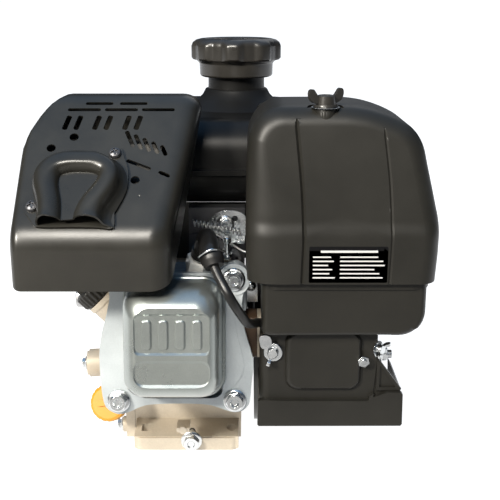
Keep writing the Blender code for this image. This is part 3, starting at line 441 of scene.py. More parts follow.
def guard_ring(x, inset, wall):
    """Section of the guard at x: the roof falls away to the left, and the right end leans outward with height."""
    fall = 34 * (max(0.0, -84 - x) / 31) ** 2
    lean = 19 * min(1.0, max(0.0, (x + 84) / 64))
    roof, ring = 315 - fall - wall - inset, []
    for p, n in GUARD:
        y, z = p - n * (wall + inset)
        if z > roof:
            share = min(1.0, (z - roof) / 12)
            if p.y < -131:
                y -= (z - roof) * 0.8
            z = roof + 0.02 * share
        ring.append((x + lean * min(1.0, max(0.0, (z - 226) / 84)), y, z))
    back = -119.5 + 3 * wall
    ring[-1] = (ring[-1][0], back, ring[-1][2])
    low = 6 * wall
    ring[0] = (ring[0][0], ring[0][1], 187 - low + (0.0 if wall else inset * 0.55))
    return ring + [(x, back, 206 - low)]


def guard_body(wall):
    left, right, rings = -115 + wall, -1 - wall, []
    for k in range(7):
        a = radians(90 * k / 6)
        rings.append(guard_ring(left + 7 * (1 - cos(a)), 7 * (1 - sin(a)), wall))
    rings += [guard_ring(x, 0, wall) for x in (-104, -100, -96, -92, -88, -84, -68, -52, -36, -24)]
    for k in range(10):
        a = radians(90 * k / 9)
        rings.append(guard_ring(right - 16 + 16 * sin(a), 14 * (1 - cos(a)), wall))
    return loft(rings)


def slot_cutter(x, v, wide, high, lean=0.0, radius=1.4):
    made = prism(rounded(-wide / 2, wide / 2, -high / 2, high / 2, min(radius, high / 2 - 0.05, wide / 2 - 0.05),
            4), "Z", -9, 9)
    return sloped(shifted(turned(made, lean, "Z"), x, v, 0))


guard = cut(guard_body(0), guard_body(SHEET))
guard = cut(guard, sloped(bar("Z", -66, 44, -6, 9, 10)),
    *[sloped(bar("Z", x, v, -6, 6, 3.4, sides=28)) for x, v in ((-76.4, 87), (-92.4, 77), (-28.7, 48.7))],
    *[slot_cutter(x, 100.3, 4.0, 13.5, -14) for x in (-83, -74.5, -60.5, -52, -38, -29.5)],
    *[slot_cutter(-22 + 6.4 * k, 80 - 2.6 * k, 3.2, 13 - 1.5 * k, 22) for k in (-2, -1, 0, 1, 2)],
    slot_cutter(-27, 62, 20, 3.0, -24), slot_cutter(-8, 54, 9, 3.0, -24),
    *[slot_cutter(x, 112.5, 25, 2.8) for x in (-71, -43, -15)],
    *[shifted(slot_cutter(x, 118.5, 21, 2.8), 0, 3, -3) for x in (-60, -34)])
guard = cut(guard, lathe(((-0.6, 0), (-0.6, 0.6), (1.2, 3.4), (1.2, 0)), SLOPE @ Vector((-25, 35, 0)), (0, -1, 1),
        24))
guard = together(guard, common(guard_body(0.4), block(-120, 25, -121.6, -120.4, 266, 318)))
piece("muffler_guard", guard, "paint", cad="muffler_guard", bevel=0.45, segments=2, angle=50)


# ---- spark-arrester hood: two blended tubes over a plate with two ears ----

CREST = ((-86.6, 9.5), (-86.9, 16), (-87.8, 24), (-89.6, 32), (-90.8, 40), (-89.6, 48), (-84.5, 54), (-76, 56),
    (-66, 56), (-56, 55.6), (-48.5, 52.5), (-45.6, 46), (-47, 38.5), (-51, 31), (-55.6, 23.5), (-58.4, 16),
    (-59.3, 9.5))
FLANK = ((0, 7.9), (0.18, 9), (0.3, 11.5), (0.42, 13.3), (0.56, 13.3), (0.66, 12), (0.76, 12.5), (0.86, 14.5),
    (1, 17.8))
TUBE_CREST, FOOT_OF_TUBE = 15.8, 2.0
line = path_points(CREST, 1.6)
bm = bmesh.new()
rows, last = [], len(line) - 1
for i, p in enumerate(line):
    t = (line[min(i + 1, last)] - line[max(i - 1, 0)]).normalized()
    out = Vector((-t.y, t.x))
    share = i / last
    (s0, w0), (s1, w1) = next(pair for pair in zip(FLANK, FLANK[1:]) if share <= pair[1][0])
    wide = w0 + (w1 - w0) * (share - s0) / (s1 - s0)
    narrow = 9.6 - 3.4 * exp(-((share - 0.5) / 0.16) ** 2)
    flare = 1.0 + 0.08 * max(0.0, 1 - min(i, last - i) / 3.0)
    row = []
    cheek = max(0.0, min(1.0, (share - 0.56) / 0.14))
    for k in range(9):
        a = radians(90 * k / 8)
        reach = cos(a) * (1 - cheek) + cheek * (1, 0.82, 0.64, 0.58, 0.54, 0.47, 0.36, 0.19, 0)[k]
        rise = sin(a) ** 0.8 * (1 - cheek) + cheek * (0, 0.12, 0.26, 0.42, 0.58, 0.75, 0.89, 0.97, 1)[k]
        high = FOOT_OF_TUBE + (TUBE_CREST - FOOT_OF_TUBE) * rise
        row.append((p + out * (wide * reach * flare), high * flare if high > 4 else high))
    for k in range(1, 8):
        a = radians(90 * k / 7)
        row.append((p - out * (narrow * sin(a)), (TUBE_CREST - 8.6) * cos(a) ** 1.3 + 8.6))
    rows.append([bm.verts.new((q.x, q.y, h)) for q, h in row])
for a, b in zip(rows, rows[1:]):
    for i in range(len(a) - 1):
        bm.faces.new((a[i], a[i + 1], b[i + 1], b[i]))
inner = [row[-1] for row in rows]
half = len(inner) // 2
for i in range(half):
    j = len(inner) - 1 - i
    corners = list(dict.fromkeys((inner[i], inner[i + 1], inner[j - 1], inner[j])))
    if len(corners) > 2 and i + 1 <= j - 1:
        bm.faces.new(corners)
bmesh.ops.recalc_face_normals(bm, faces=bm.faces)
tubes = add_drawn(bm)
if sum(f.normal.z * f.area for f in tubes.data.polygons) < 0:
    tubes.data.flip_normals()
step = tubes.modifiers.new("sheet", "SOLIDIFY")
step.thickness, step.offset = 1.3, -1.0
tubes.data = evaluated(tubes)
plate_edge = ((-95.6, 8.6), (-99.5, 13.5), (-104.8, 21), (-106.4, 26), (-104, 32.5), (-101.4, 40), (-101.6, 50),
    (-99.6, 60), (-94, 67.4), (-84, 69.6), (-70, 69.4), (-58.5, 70.2), (-51.5, 75.2), (-45.6, 77), (-40, 74.4),
    (-37.6, 67), (-34.8, 59), (-33.4, 50), (-34.8, 39), (-39.6, 30.5), (-41.4, 22), (-41.2, 7.6), (-52, 7.6),
    (-68, 8), (-84, 7.8))
hood = together(tubes, prism(smooth_outline(plate_edge, 4), "Z", 0.3, 2.3))
piece("exhaust_deflector", sloped(hood), "paint", cad="exhaust_deflector", bevel=0.35, segments=2, angle=60)
for name, x, v in (("upper", -44.4, 70.2), ("lower", -99.8, 24.4)):
    piece("deflector_screw_" + name, sloped(cross_screw((x, v, 2.3), (0, 0, 1), 4.6, 3.4)), "dull",
        bevel=0.2, segments=2)


# ---- muffler behind the guard ----

shell = ((-203, 213), (-203, 236), (-158, 281), (-130, 281), (-123, 274), (-123, 213))
muffler = prism(shell, "X", -99, -13)
for x in (-99, -56, -13):
    muffler = join(muffler, prism([(y + (1.0 if y > -160 else -1.0), z + (1 if z > 250 else -1)) for y, z in shell],
            "X", x - 1, x + 1))
muffler = join(muffler, tilted(bar("Z", -26, -158, 54, 90, 12.5)),
    tilted(prism(rounded(-46, -6, -170, -146, 6), "Z", 52.3, 57)),
    tilted(bar("Z", -41, -158, 57, 63, 4.2, sides=6)), tilted(bar("Z", -11, -158, 57, 63, 4.2, sides=6)))
piece("muffler_body", muffler, "iron", cad="muffler", bevel=0.8)


# ---- fuel tank and cap ----

def squircle(x0, x1, y0, y1, power, sides=96):
    cx, cy, rx, ry = (x0 + x1) / 2, (y0 + y1) / 2, (x1 - x0) / 2, (y1 - y0) / 2
    out = []
    for k in range(sides):
        a = 2 * pi * k / sides
        c, s = cos(a), sin(a)
        out.append((cx + rx * copysign(abs(c) ** (2 / power), c), cy + ry * copysign(abs(s) ** (2 / power), s)))
    return out


def tank_loft(sections, power=5.0):
    return loft([[(x, y, z) for x, y in squircle(x0, x1, y0, y1, power)] for z, x0, x1, y0, y1 in sections])


tank = tank_loft(((222, -64, 102, -92, 84), (224, -71, 109, -100, 91), (229, -78, 116, -108, 98),
        (237, -82.5, 120.5, -112.5, 102.5), (247.6, -84, 122, -114, 104), (248.4, -84.4, 122.4, -114.4, 104.4),
        (249, -87, 125, -117, 107), (253, -87, 125, -117, 107), (253.6, -84.4, 122.4, -114.4, 104.4),
        (256, -84, 122, -114, 104), (268, -83.4, 121.4, -113.4, 103.4), (277, -81, 119, -110.5, 100.5),
        (284, -76, 114, -105, 95), (289, -69, 107, -97, 88), (292, -60, 98, -88, 80)))
dome = lathe(((280, 0), (280, 56), (287, 50), (293, 42.5), (299, 35), (304, 30), (308, 28), (309, 27),
        (309.4, 25.2), (313, 25), (319, 25), (319, 21), (300, 21), (300, 0)), FILLER, sides=72)
tank = join(tank, dome)
for x in (-30, 100):
    tank = join(tank, tank_loft(((270, x - 14, x + 14, -113.6, -60), (281, x - 14, x + 14, -110.6, -60),
                (288, x - 12, x + 12, -99, -60)), 4))
tank = join(tank, bar("Z", 55.5, -86, 223.5, 214, 3.6), block(-18, -6, -116.4, -100, 243, 247),
    block(60, 72, -116.4, -100, 243, 247))
piece("fuel_tank", tank, "tank", cad="fuel_tank", bevel=0.9)

LOBED = ((333.6, 35.0, 0.4), (334.4, 37.4, 1.0), (336, 38.2, 1.6), (346, 38.2, 1.6), (349.2, 37.2, 1.3),
    (351.4, 34.8, 0.7), (352.4, 31.5, 0.2), (352.7, 28.5, 0.0), (352.2, 27.4, 0.0), (351.2, 26.6, 0.0),
    (351.4, 20.0, 0.0), (351.9, 10.0, 0.0), (352.0, 2.0, 0.0))
rings = []
for z, radius, wave in LOBED:
    ring = []
    for k in range(192):
        a = 2 * pi * k / 192
        lobe = cos(8 * a + 0.5)
        shaped = copysign(min(1.0, abs(lobe) * 1.7), lobe)
        if shaped < 0:
            shaped *= 1.15
        ring.append((42 + (radius + wave * shaped) * cos(a), -12 + (radius + wave * shaped) * sin(a), z))
    rings.append(ring)
cap = loft(rings)
collar = lathe(((319.5, 0), (319.5, 30.0), (320.2, 31.6), (321.6, 32.4), (330.6, 32.6), (332, 33.4), (333.2, 34.6),
        (334.4, 34.8), (334.4, 0)), FILLER, sides=96)
plug_end = lathe(((306, 0), (306, 19), (307, 20.4), (320, 20.4), (320, 0)), FILLER, sides=64)
vents = [turned(block(50, 62, -13, -11, 351, 352.4), 60 * k, "Z", FILLER) for k in range(6)]
cap = together(cap, collar, plug_end, *vents)
piece("fuel_cap", cap, "cap", "tank_cap", cad="fuel_cap", bevel=0.3, segments=2, angle=40)


# ---- air cleaner ----

FRONT_VIEW = ((52.2, 187.4), (51.2, 204), (51.1, 216), (51, 222), (51, 228), (51.1, 234), (51.3, 242), (51.6, 262),
    (52.6, 286), (54.6, 295), (58.6, 302.6), (65, 308.8), (74, 312.4), (86, 313), (112, 313), (126, 312.9),
    (138, 311.4), (148, 308.8), (158, 305), (168, 299.6), (175, 292.6), (179.4, 284), (182.2, 272), (187, 251),
    (189, 242), (190.8, 234), (191.5, 228), (191.7, 222), (191.6, 214), (191.4, 206), (190.3, 187.4))
edge = path_points(FRONT_VIEW, None, 4)


def lean_run(z):
    """Height over which the front leans back, easing in round z 228, with a soft shoulder added there."""
    step = min(1.0, max(0.0, (z - 221) / 13))
    lean = 0.0 if z < 216 else z - 228 if z > 240 else (z - 216) ** 2 / 48
    return lean + 14 * step * step * (3 - 2 * step)


def cleaner_ring(y, inset, lean, foot=187.4):
    centre, ring = Vector((121, 246)), []
    for i, p in enumerate(edge):
        before, after = edge[max(0, i - 1)], edge[min(len(edge) - 1, i + 1)]
        t = (after - before).normalized()
        n = Vector((t.y, -t.x)) * inset * (1 + 0.7 * min(1.0, max(0.0, (80 - p.x) / 20))
            * min(1.0, max(0.0, (292 - p.y) / 60)))
        q = p + n if (centre - p).dot(n) > 0 else p - n
        high = q.y if 0 < i < len(edge) - 1 else foot
        high = max(high, foot)
        ring.append((q.x, y + lean * lean_run(high), high))
    return ring


def lean_at(y):
    return LEAN * max(0.0, min(1.0, (-130 - y) / 65))


sections = []
for k in range(9):
    a = radians(90 * k / 8)
    sections.append((CLEANER_FRONT + 14 * (1 - sin(a)), 13 * (1 - cos(a))))
front = cleaner_ring(CLEANER_FRONT, 13, LEAN)
inner_rings = []
for share in (0.04, 0.12, 0.2, 0.28, 0.36, 0.44, 0.52, 0.6, 0.68, 0.76, 0.84, 0.92):
    ring = []
    for x, y, z in front:
        high = 240 + (z - 240) * share
        ring.append((121 + (x - 121) * share, CLEANER_FRONT + LEAN * lean_run(high), high))
    inner_rings.append(ring)
outer = loft(inner_rings + [cleaner_ring(y, inset, LEAN) for y, inset in reversed(sections)]
    + [cleaner_ring(y, 0, lean_at(y)) for y in (-185, -172, -158, -144, -130, -124)]
    + [cleaner_ring(-121.5, 1.2, 0), cleaner_ring(-120.5, 4, 0)])
hollow = loft([cleaner_ring(-208.4, 14.5, LEAN, 186), cleaner_ring(-204, 5, LEAN, 186),
        cleaner_ring(-196, 2.4, LEAN, 186), cleaner_ring(-130, 2.4, 0, 186), cleaner_ring(-123.6, 5, 0, 186)])
cover = cut(outer, hollow)


def groove(line, half, deep):
    """Cutter for a V groove up the front, through the points (x, z)."""
    rings = []
    for x, z in path_points(line, 3):
        y = CLEANER_FRONT + LEAN * lean_run(z)
        rings.append([(x - half * (1 + 1 / deep), y - 1, z), (x + half * (1 + 1 / deep), y - 1, z),
                (x, y + deep, z)])
    return loft(rings)


cover = cut(cover, groove(((91.8, 180), (93, 214), (93, 228), (91.6, 258), (87.6, 300), (86.6, 318)), 1.7, 1.5),
    groove(((155, 180), (156, 214), (156, 228), (154, 262), (149.4, 300), (148.4, 318)), 1.3, 0.8))
cover = cut(cover, bar("Z", *STUD, 311.6, 330, 13), bar("Z", *STUD, 290, 330, 4))
cover = join(cover, lathe(((304, 4.2), (304, 8), (312.2, 8), (312.2, 4.2)), (*STUD, 0)))
cover = cut(cover, bar("Z", *STUD, 290, 330, 4.2))
piece("air_cleaner_cover", cover, "plastic", "cleaner_lid", cad="air_cleaner_cover", bevel=0.7, angle=24)
label = prism(rounded(96.6, 153.6, 188.6, 216, 1.2, 4), "Y", CLEANER_FRONT, CLEANER_FRONT + 1.4)
piece("information_label", label, "label", "cleaner_lid", bevel=0.15, segments=2)
bars = [block(105, 146, CLEANER_FRONT - 0.25, CLEANER_FRONT + 0.2, 211.4, 213.0)]
for k, (low, high) in enumerate(((26, 44), (30, 50), (22, 52), (28, 40), (24, 46), (32, 50))):
    z = 207.6 - 3.1 * k
    bars += [block(99.5, 99.5 + low * 0.5, CLEANER_FRONT - 0.25, CLEANER_FRONT + 0.2, z, z + 1.0),
        block(119, 119 + high * 0.62, CLEANER_FRONT - 0.25, CLEANER_FRONT + 0.2, z, z + 1.0)]
piece("label_bars", together(*bars), "print", "cleaner_lid")

FRONT, BACK = -204.0, -121.0
body_outline = ([(62.6, 187), (62.6, 148), (64.5, 144.4), (68, 143.2), (150, 143.6)]
    + [(166 + 19 * sin(radians(a)), 162.5 - 19 * cos(radians(a))) for a in range(0, 91, 10)]
    + [(185, 176), (185, 187)])
inside_outline = [(65, 189), (65, 162), (160, 162), (172, 166), (179, 172), (182.4, 182), (182.4, 189)]
lower = loft([[(x + (inset if x < 70 else -inset if x > 160 else 0), y, z + (inset if z < 150 else 0))
            for x, z in body_outline]
        for y, inset in ((FRONT + 0.4, 5), (FRONT + 1.4, 2.6), (FRONT + 3.4, 0.9), (FRONT + 6.6, 0), (BACK - 5, 0),
            (BACK, 2))])
rim = cut(prism(rounded(61.6, 187, FRONT - 1.2, BACK, 14), "Z", 181.4, 186.8),
    prism(rounded(66, 182, FRONT + 3, BACK - 3, 11), "Z", 180, 188))
lower = cut(lower, prism(inside_outline, "Y", FRONT + 3, BACK - 3),
    prism(rounded(66, 160, 140, 160, 4), "Y", FRONT + 3, BACK - 3))
lower = join(lower, rim)
PORT = in_world(0, 158, 0)


def from_port(x, y, z):
    return Vector((x, PORT.y + y, PORT.z + z))


lower = join(lower, rod(from_port(100.4, 0, 0), from_port(128, 0, 0), 14.5),
    rod(from_port(116, 0, 0), from_port(116, 0, 40), 14))
lower = cut(lower, rod(from_port(100, 0, 0), from_port(122, 0, 0), 10.5),
    rod(from_port(116, 0, -6), from_port(116, 0, 42), 10.5), bar("X", -182, 147.5, 60, 67, 9),
    block(60, 67, -179, -133.5, 142, 154))
piece("air_cleaner_base", lower, "plastic", cad="air_cleaner_base", bevel=0.8)
thread = [(160, 0), (160, 2.9)] + [(161 + 0.7 * k, 2.9 if k % 2 else 2.45) for k in range(224)]
piece("cleaner_stud", lathe(thread + [(318, 2.4), (319, 1.6), (319, 0)], (*STUD, 0), sides=24), "zinc")
wing = lathe(((312.5, 3.1), (312.5, 8.6), (313.4, 8.9), (314.4, 8.6), (314.6, 7.0), (320.4, 6.2), (321, 5.4),
        (321, 3.1)), (*STUD, 0))
for side in (-1, 1):
    ear = smooth_outline([(side * x, z) for x, z in ((4, 314.5), (8.5, 315.2), (12.6, 317.4), (14.3, 321.5),
                (13.6, 324.8), (10.8, 325.4), (8.6, 322.8), (6.6, 320.4), (4, 320))], 4)
    wing = join(wing, shifted(prism(ear, "Y", -1.4, 1.4), *STUD, 0))
piece("wing_nut_body", turned(wing, 28, "Z", (*STUD, 0)), "cap", "cleaner_nut", cad="wing_nut", bevel=0.4)
piece("stud_washer", lathe(((312.22, 4.4), (312.22, 10.2), (312.48, 10.2), (312.48, 4.4)), (*STUD, 0)),
    "zinc", "cleaner_lid")


# ---- air duct below the cleaner, with its fasteners ----

DUCT = -188.0


def box_rings(sections, steps=6):
    return loft([[(x, y, z) for x, y in rounded(x0, x1, y0, y1, radius, steps)]
            for z, x0, x1, y0, y1, radius in sections])


duct = cut(box_rings(((67, 61, 173, DUCT, -124, 8), (143.2, 62, 170, DUCT, -124, 8))),
    box_rings(((69, 63.2, 171, DUCT + 2.2, -120, 6), (145, 64.2, 168, DUCT + 2.2, -120, 6))),
    block(60, 65, -173, -119, 88, 145))
panel = loft([[(x, y, z) for x, z in rounded(84 - grow, 138 + grow * 0.6, 97 - grow * 0.7, 143, 9)]
        for y, grow in ((DUCT + 1, 3.4), (DUCT - 1.4, 2.2), (DUCT - 3.6, 0.6), (DUCT - 4.5, -1.4))])
flange = prism(((60, 66.4), (60.6, 86.5), (64, 87.2), (84, 86.4), (146, 86.4), (146.6, 90), (152, 94), (171, 93.4),
        (172.4, 92), (172.8, 67), (171.6, 65.4), (61, 65.2)), "Y", DUCT - 4, DUCT + 1)
duct = join(duct, panel, flange)
duct = cut(duct, bar("X", -182, 147.5, 56, 67, 9),
    prism(((176, 146), (152, 146), (152, 121), (158, 112.5), (172.6, 92.4), (176, 92)), "Y", -200, -120),
    prism(((149.6, 89.5), (152, 118), (157.4, 111.5), (168, 96.5)), "Y", -194, DUCT + 1.4),
    bar("Y", 72, 126, DUCT - 6, DUCT + 6, 3.6))
duct = join(duct, prism(((152.0, 94), (152.0, 119.5), (153.6, 119.5), (171.6, 95.2), (170.4, 94)), "Y", DUCT - 0.8,
        DUCT + 3))
duct = cut(duct, prism(((154.4, 96.6), (154.4, 114.5), (167.2, 96.6)), "Y", DUCT - 2, DUCT + 1.2))
element = cut(box_rings(((163.4, 70, 168, -198, -130, 14), (176, 71, 172, -198, -130, 14),
            (262, 78, 178, -196, -130, 14))),
    box_rings(((162, 86, 156, -179, -140, 8), (256, 92, 162, -176, -140, 8))), bar("Z", *STUD, 160, 270, 3.6))
piece("filter_foam", element, "foam", "filter", cad="air_filter_element", bevel=2.0)
piece("air_duct_body", duct, "plastic", cad="air_duct", bevel=0.9)


def wing_screw(place, direction, spin, size=1.0):
    """Quarter-turn fastener: washer, barrel and two upright ears."""
    made = lathe(((0, 0), (0, 8.4), (0.5, 9), (1.4, 9), (1.8, 8.4), (1.8, 5.6), (5.6, 5), (6.6, 4.2), (6.6, 0)))
    for s in (-1, 1):
        ear = smooth_outline([(s * u, v) for u, v in ((2.5, 2.4), (6.5, 2.6), (10.6, 4.2), (12.4, 7.6), (11.4, 10),
                    (8.4, 9.4), (6.2, 6.8), (2.5, 6.0))], 4)
        made = join(made, prism(ear, "Y", -1.5, 1.5))
    made = turned(move(made, Matrix.Scale(size, 4)), spin, "Z")
    return aimed(made, place, direction)


left = join(wing_screw((72, DUCT - 0.4, 126), (-0.12, -1, 0.05), 62, 0.8), bar("Y", 72, 126, DUCT + 4, DUCT - 1, 3))
piece("duct_wing_screw", left, "zinc", cad="duct_bolt_left", bevel=0.35, segments=2)
clip = join(block(62.2, 69.5, DUCT - 3.4, DUCT - 0.3, 131.5, 139.5), prism(smooth_outline(
            ((61.4, 139.5), (65, 141.6), (69.6, 140), (70.6, 134), (67.4, 130.8), (63, 131.6)), 4), "Y", DUCT - 6.4,
        DUCT - 3))
piece("duct_clip", clip, "zinc", bevel=0.5)
right = join(aimed(lathe(((0, 0), (0, 7.6), (0.4, 8), (1.8, 8), (2.2, 7.4), (2.2, 0))),
        (152.3, -180, 121), (1, 0, 0)), flange_bolt((154.2, -180, 121), (1, -0.0, 0), 10, 7.2, 6.4),
    bar("X", -180, 121, 158, 164, 3.1))
piece("duct_hex_bolt", right, "zinc", cad="duct_bolt_right", bevel=0.25, segments=2)
second = wing_screw((152.4, -186.5, 127.5), (0.75, -0.66, 0.1), 70, 0.72)
piece("duct_wing_screw_right", second, "zinc", bevel=0.35, segments=2)
piece("duct_stud", join(bar("Y", 140.8, 120.5, -192.4, -195.6, 4.6, sides=6),
        bar("Y", 140.8, 120.5, -195, -197.4, 2.5)), "zinc", bevel=0.3)


# ---- cylinder head and valve cover ----

HEAD_BOLTS = ((-47.5, -48.0), (42.5, -47.5), (42.0, 47.0))
HEAD_EDGE = ((-51, -58.2), (-45.5, -58.8), (-39, -56.9), (-32, -53.6), (-24, -51.4), (-8, -50.6), (8, -50.6),
    (21, -51.4), (29, -53.4), (36, -55.9), (42.5, -57.4), (48.5, -56.2), (53.2, -51.6), (54.6, -46), (55.6, -34),
    (57, -22), (56.4, -14), (53, -2), (50, 9), (48.4, 22), (48.6, 34), (51.5, 41), (52.6, 48), (49.5, 54.5),
    (43, 57), (35, 55), (28, 52.4), (10, 52), (-20, 52), (-36, 52.6), (-46, 55.6), (-52.5, 53), (-54.6, 46),
    (-53.4, 34), (-56, 20), (-60, 5), (-62, -10), (-61.8, -26), (-60.6, -42), (-58, -53))
PLATE_STEP = ((-44.5, -38.5), (-38, -42), (-26, -46.5), (-12, -48.4), (10, -48.4), (24, -46.6), (33, -42.6),
    (40.5, -37.2), (46.5, -30), (49.6, -22), (48.6, -12), (44.6, 4), (42.4, 20), (42.0, 34), (34, 44), (20, 48),
    (-20, 48), (-40, 44), (-46.5, 34), (-49.5, 16), (-54.6, -2), (-56.2, -18), (-54.4, -30))
edge_line, step_line = smooth_outline(HEAD_EDGE, 3), smooth_outline(PLATE_STEP, 4)
head = join(
    prism(rounded(-38, 38, -50, 36, 8), "Y", -180, -137.3), prism(rounded(-55, 52, -56, 54, 8), "Y", -146, -137.3),
    *[prism(rounded(-54, 51, -46, 50, 9), "Y", -y - 2.2, -y) for y in (150, 157, 164, 171)],
    *[bar("Y", x, z, -180, -142, 9.5) for x, z in HEAD_BOLTS], prism(rounded(38, 47, -173, -144, 4), "Z", -16, 18),
    bar("Z", -26, -158, 20, 52, 17), prism(edge_line, "Y", -184.2, -176), prism(step_line, "Y", -185.2, -180))
bosses = [cut(bar("Y", x, z, -185.2, -180, 12.2, sides=64), bar("Y", x, z, -187, -183.4, 9.3, sides=64))
    for x, z in HEAD_BOLTS[2:]]
head = join(head, *bosses)
PLUG_FOOT = Vector((4, -141, 20))
PLUG_AXIS = (Vector((16, -166, 62)) - PLUG_FOOT).normalized()
head = cut(
    head, bar("Y", 0, 0, -137, -145.3, 31, sides=64), block(47.2, 60, -175, -139, -20, 21),
    rod(PLUG_FOOT + PLUG_AXIS * 35.7, PLUG_FOOT + PLUG_AXIS * 70, 12),
    prism(rounded(-33, 33, -46, 16, 7), "Y", -186, -170.8),
    *[block(x - 6.5, x + 6.5, -172, -137, -45, -30.5) for x in (-16.5, 16.5)],
    *[bar("Y", x, z, -186, -137, 4.4) for x, z in HEAD_BOLTS], rod((4, -141, 20), (16, -166, 62), 7.3))
head = join(head, *[bar("Y", x, -17, -170, -189.6, 4) for x in (-16, 16)])
piece("cylinder_head_casting", tilted(head), "head", cad="cylinder_head", bevel=0.55, angle=35)
for name, (x, z) in zip(("lower_left", "lower_right", "upper_right"), HEAD_BOLTS):
    bolt = flange_bolt((x, -185.4 if name != "upper_right" else -183.6, z), (0, -1, 0), 12, 8.9, 7.4, 1.6)
    piece("head_bolt_" + name + "_body", tilted(bolt), "zinc", cad="head_bolt_" + name, bevel=0.3, segments=2)


def cover_ring(along, left, right, low, high, radius):
    return [(u, -along, v) for u, v in rounded(left, right, low, high, radius, 10)]


shape = ((185.5, -42, 35, -43, 50, 17), (186.2, -42.6, 35.6, -43.6, 50.6, 17),
    (188.6, -42.6, 35.6, -43.6, 50.6, 17), (189.6, -42, 35, -43, 50, 17), (190.2, -40.6, 33.6, -41.6, 48.8, 15.6),
    (192, -40, 33.2, -40.6, 48.6, 15), (206, -39.6, 32.8, -38.4, 48, 15), (215, -39, 32.2, -36.4, 46.6, 15),
    (219.6, -38, 31.4, -34.6, 44.6, 14.6), (223.2, -36.2, 30, -32.4, 41.6, 14), (226.2, -33.6, 27.8, -30, 38.4, 13),
    (228.2, -30.6, 25.4, -27.4, 35.4, 11.5), (229, -28.4, 23.6, -25.4, 33.4, 10))
outer = loft([cover_ring(*s) for s in shape])
inner = loft([cover_ring(184, -38.5, 31.5, -40, 46.5, 13), cover_ring(216, -36.8, 30, -34, 44, 13),
        cover_ring(223, -33, 27, -29, 38, 11)])
cover = cut(outer, inner)


def pressed(u0, u1, v0, v1, deep, radius, side=1.7):
    """Cutter for a sunk panel whose walls slope."""
    return loft([cover_ring(229 - deep, u0 + side, u1 - side, v0 + side, v1 - side, max(0.6, radius - side)),
            cover_ring(229.01, u0, u1, v0, v1, radius),
            cover_ring(233, u0 - 2, u1 + 2, v0 - 2, v1 + 2, radius + 2)])


cover = cut(cover, pressed(-30.5, 26.4, -1.4, 29.4, 1.5, 5.2), pressed(-31.4, 26.8, -25.6, -5.4, 1.5, 8, 2.2))
ribs = [loft([cover_ring(227.4, u - 3.8, u + 3.8, 2.6, 24.6, 2.6),
            cover_ring(228.6, u - 3.4, u + 3.4, 3.0, 24.2, 2.3),
            cover_ring(229.1, u - 2.6, u + 2.6, 3.8, 23.4, 1.6)]) for u in (-20.6, -8.4, 3.8, 16.0)]
cover = join(cover, *ribs)
piece("valve_cover_pressing", tilted(cover), "cover", cad="valve_cover", bevel=0.5, angle=18)


# ---- ignition: boot, clip, lead ----

BOOT_END = Vector((27, -206, 205))


def on_plug(distance):
    return PLUG_FOOT + PLUG_AXIS * distance


elbow = TILT @ on_plug(69)
start = TILT @ on_plug(51.8)
lead_axis = Vector((6, -12, -16)).normalized()
boot = tube([start, TILT @ on_plug(60), elbow + Vector((0.5, -3, 1.5)), elbow.lerp(BOOT_END, 0.45)
        + Vector((0, -1, 3.2)), BOOT_END + Vector((-2, 3, 3.4)), BOOT_END + lead_axis * 2], 7.4, 1.2)
boot = join(boot, rod(start, TILT @ on_plug(58), 8.6),
    lathe(((-4, 0), (-4, 7.9), (-2.6, 8.9), (0.8, 8.9), (2.2, 8.2), (6, 7.0), (6, 0)), BOOT_END, lead_axis),
    *[lathe(((d, 0), (d, 8.0), (d + 0.9, 8.0), (d + 0.9, 0)), BOOT_END, elbow - BOOT_END) for d in (10, 14, 18)])
boot = cut(boot, tilted(rod(on_plug(50), on_plug(68), 6.0)),
    rod(BOOT_END - lead_axis * 2, BOOT_END + lead_axis * 20, 3.7))
piece("plug_boot", boot, "rubber", cad="spark_plug_boot", bevel=0.35, segments=2)
side = lead_axis.cross(Vector((0, 0, 1))).normalized()
clip = tube([BOOT_END + side * 8.9 - lead_axis * 3, BOOT_END + side * 10.2 + Vector((0, -1, 4)),
        BOOT_END + Vector((0, -7.5, 9.5)), BOOT_END - side * 9.8 + Vector((0, -1, 5)),
        BOOT_END - side * 8.9 - lead_axis * 3], 0.85, 1.0)
piece("boot_clip", clip, "zinc")

LEAD = (BOOT_END - lead_axis * 1.6, BOOT_END + lead_axis * 9, (39.5, -222, 182), (46.5, -216, 168), (52, -207, 157),
    (57, -193, 150.5), (61, -185, 148.5), (66, -181, 144), (74, -179.5, 132), (82, -179, 116), (85, -178.7, 98),
    (85, -177, 86), (84, -168, 76.5), (80, -150, 75), (76.5, -132, 82), (74, -117, 96), (72, -108, 106),
    (72, -103, 113))
piece("lead_cable", tube(LEAD, 3.5, 1.6), "rubber", cad="ignition_lead")
HOSE = ((55.5, -86, 213.6), (55.5, -86, 208), (55.5, -92, 203), (55.5, -104, 200), (55.5, -114, 194),
    (55.5, -119, 184), (55.5, -123, 172), (55.5, -124.5, 130), (56, -124.5, 112), (62, -125, 104), (72, -127, 101),
    (77, -131, 101), (78, -135.2, 101))
piece("fuel_line", tube(HOSE, 3.0, 1.6), "rubber", cad="fuel_hose")
for name, place, way in (("upper", (55.5, -86, 208.6), (0, 0, 1)), ("lower", (77.2, -131.6, 101), (0.2, -1, 0))):
    band = lathe(((-1.6, 3.1), (-1.6, 3.7), (1.6, 3.7), (1.6, 3.1)), place, way)
    piece("hose_clip_" + name, band, "zinc")


# ---- crankcase, foot, side cover ----

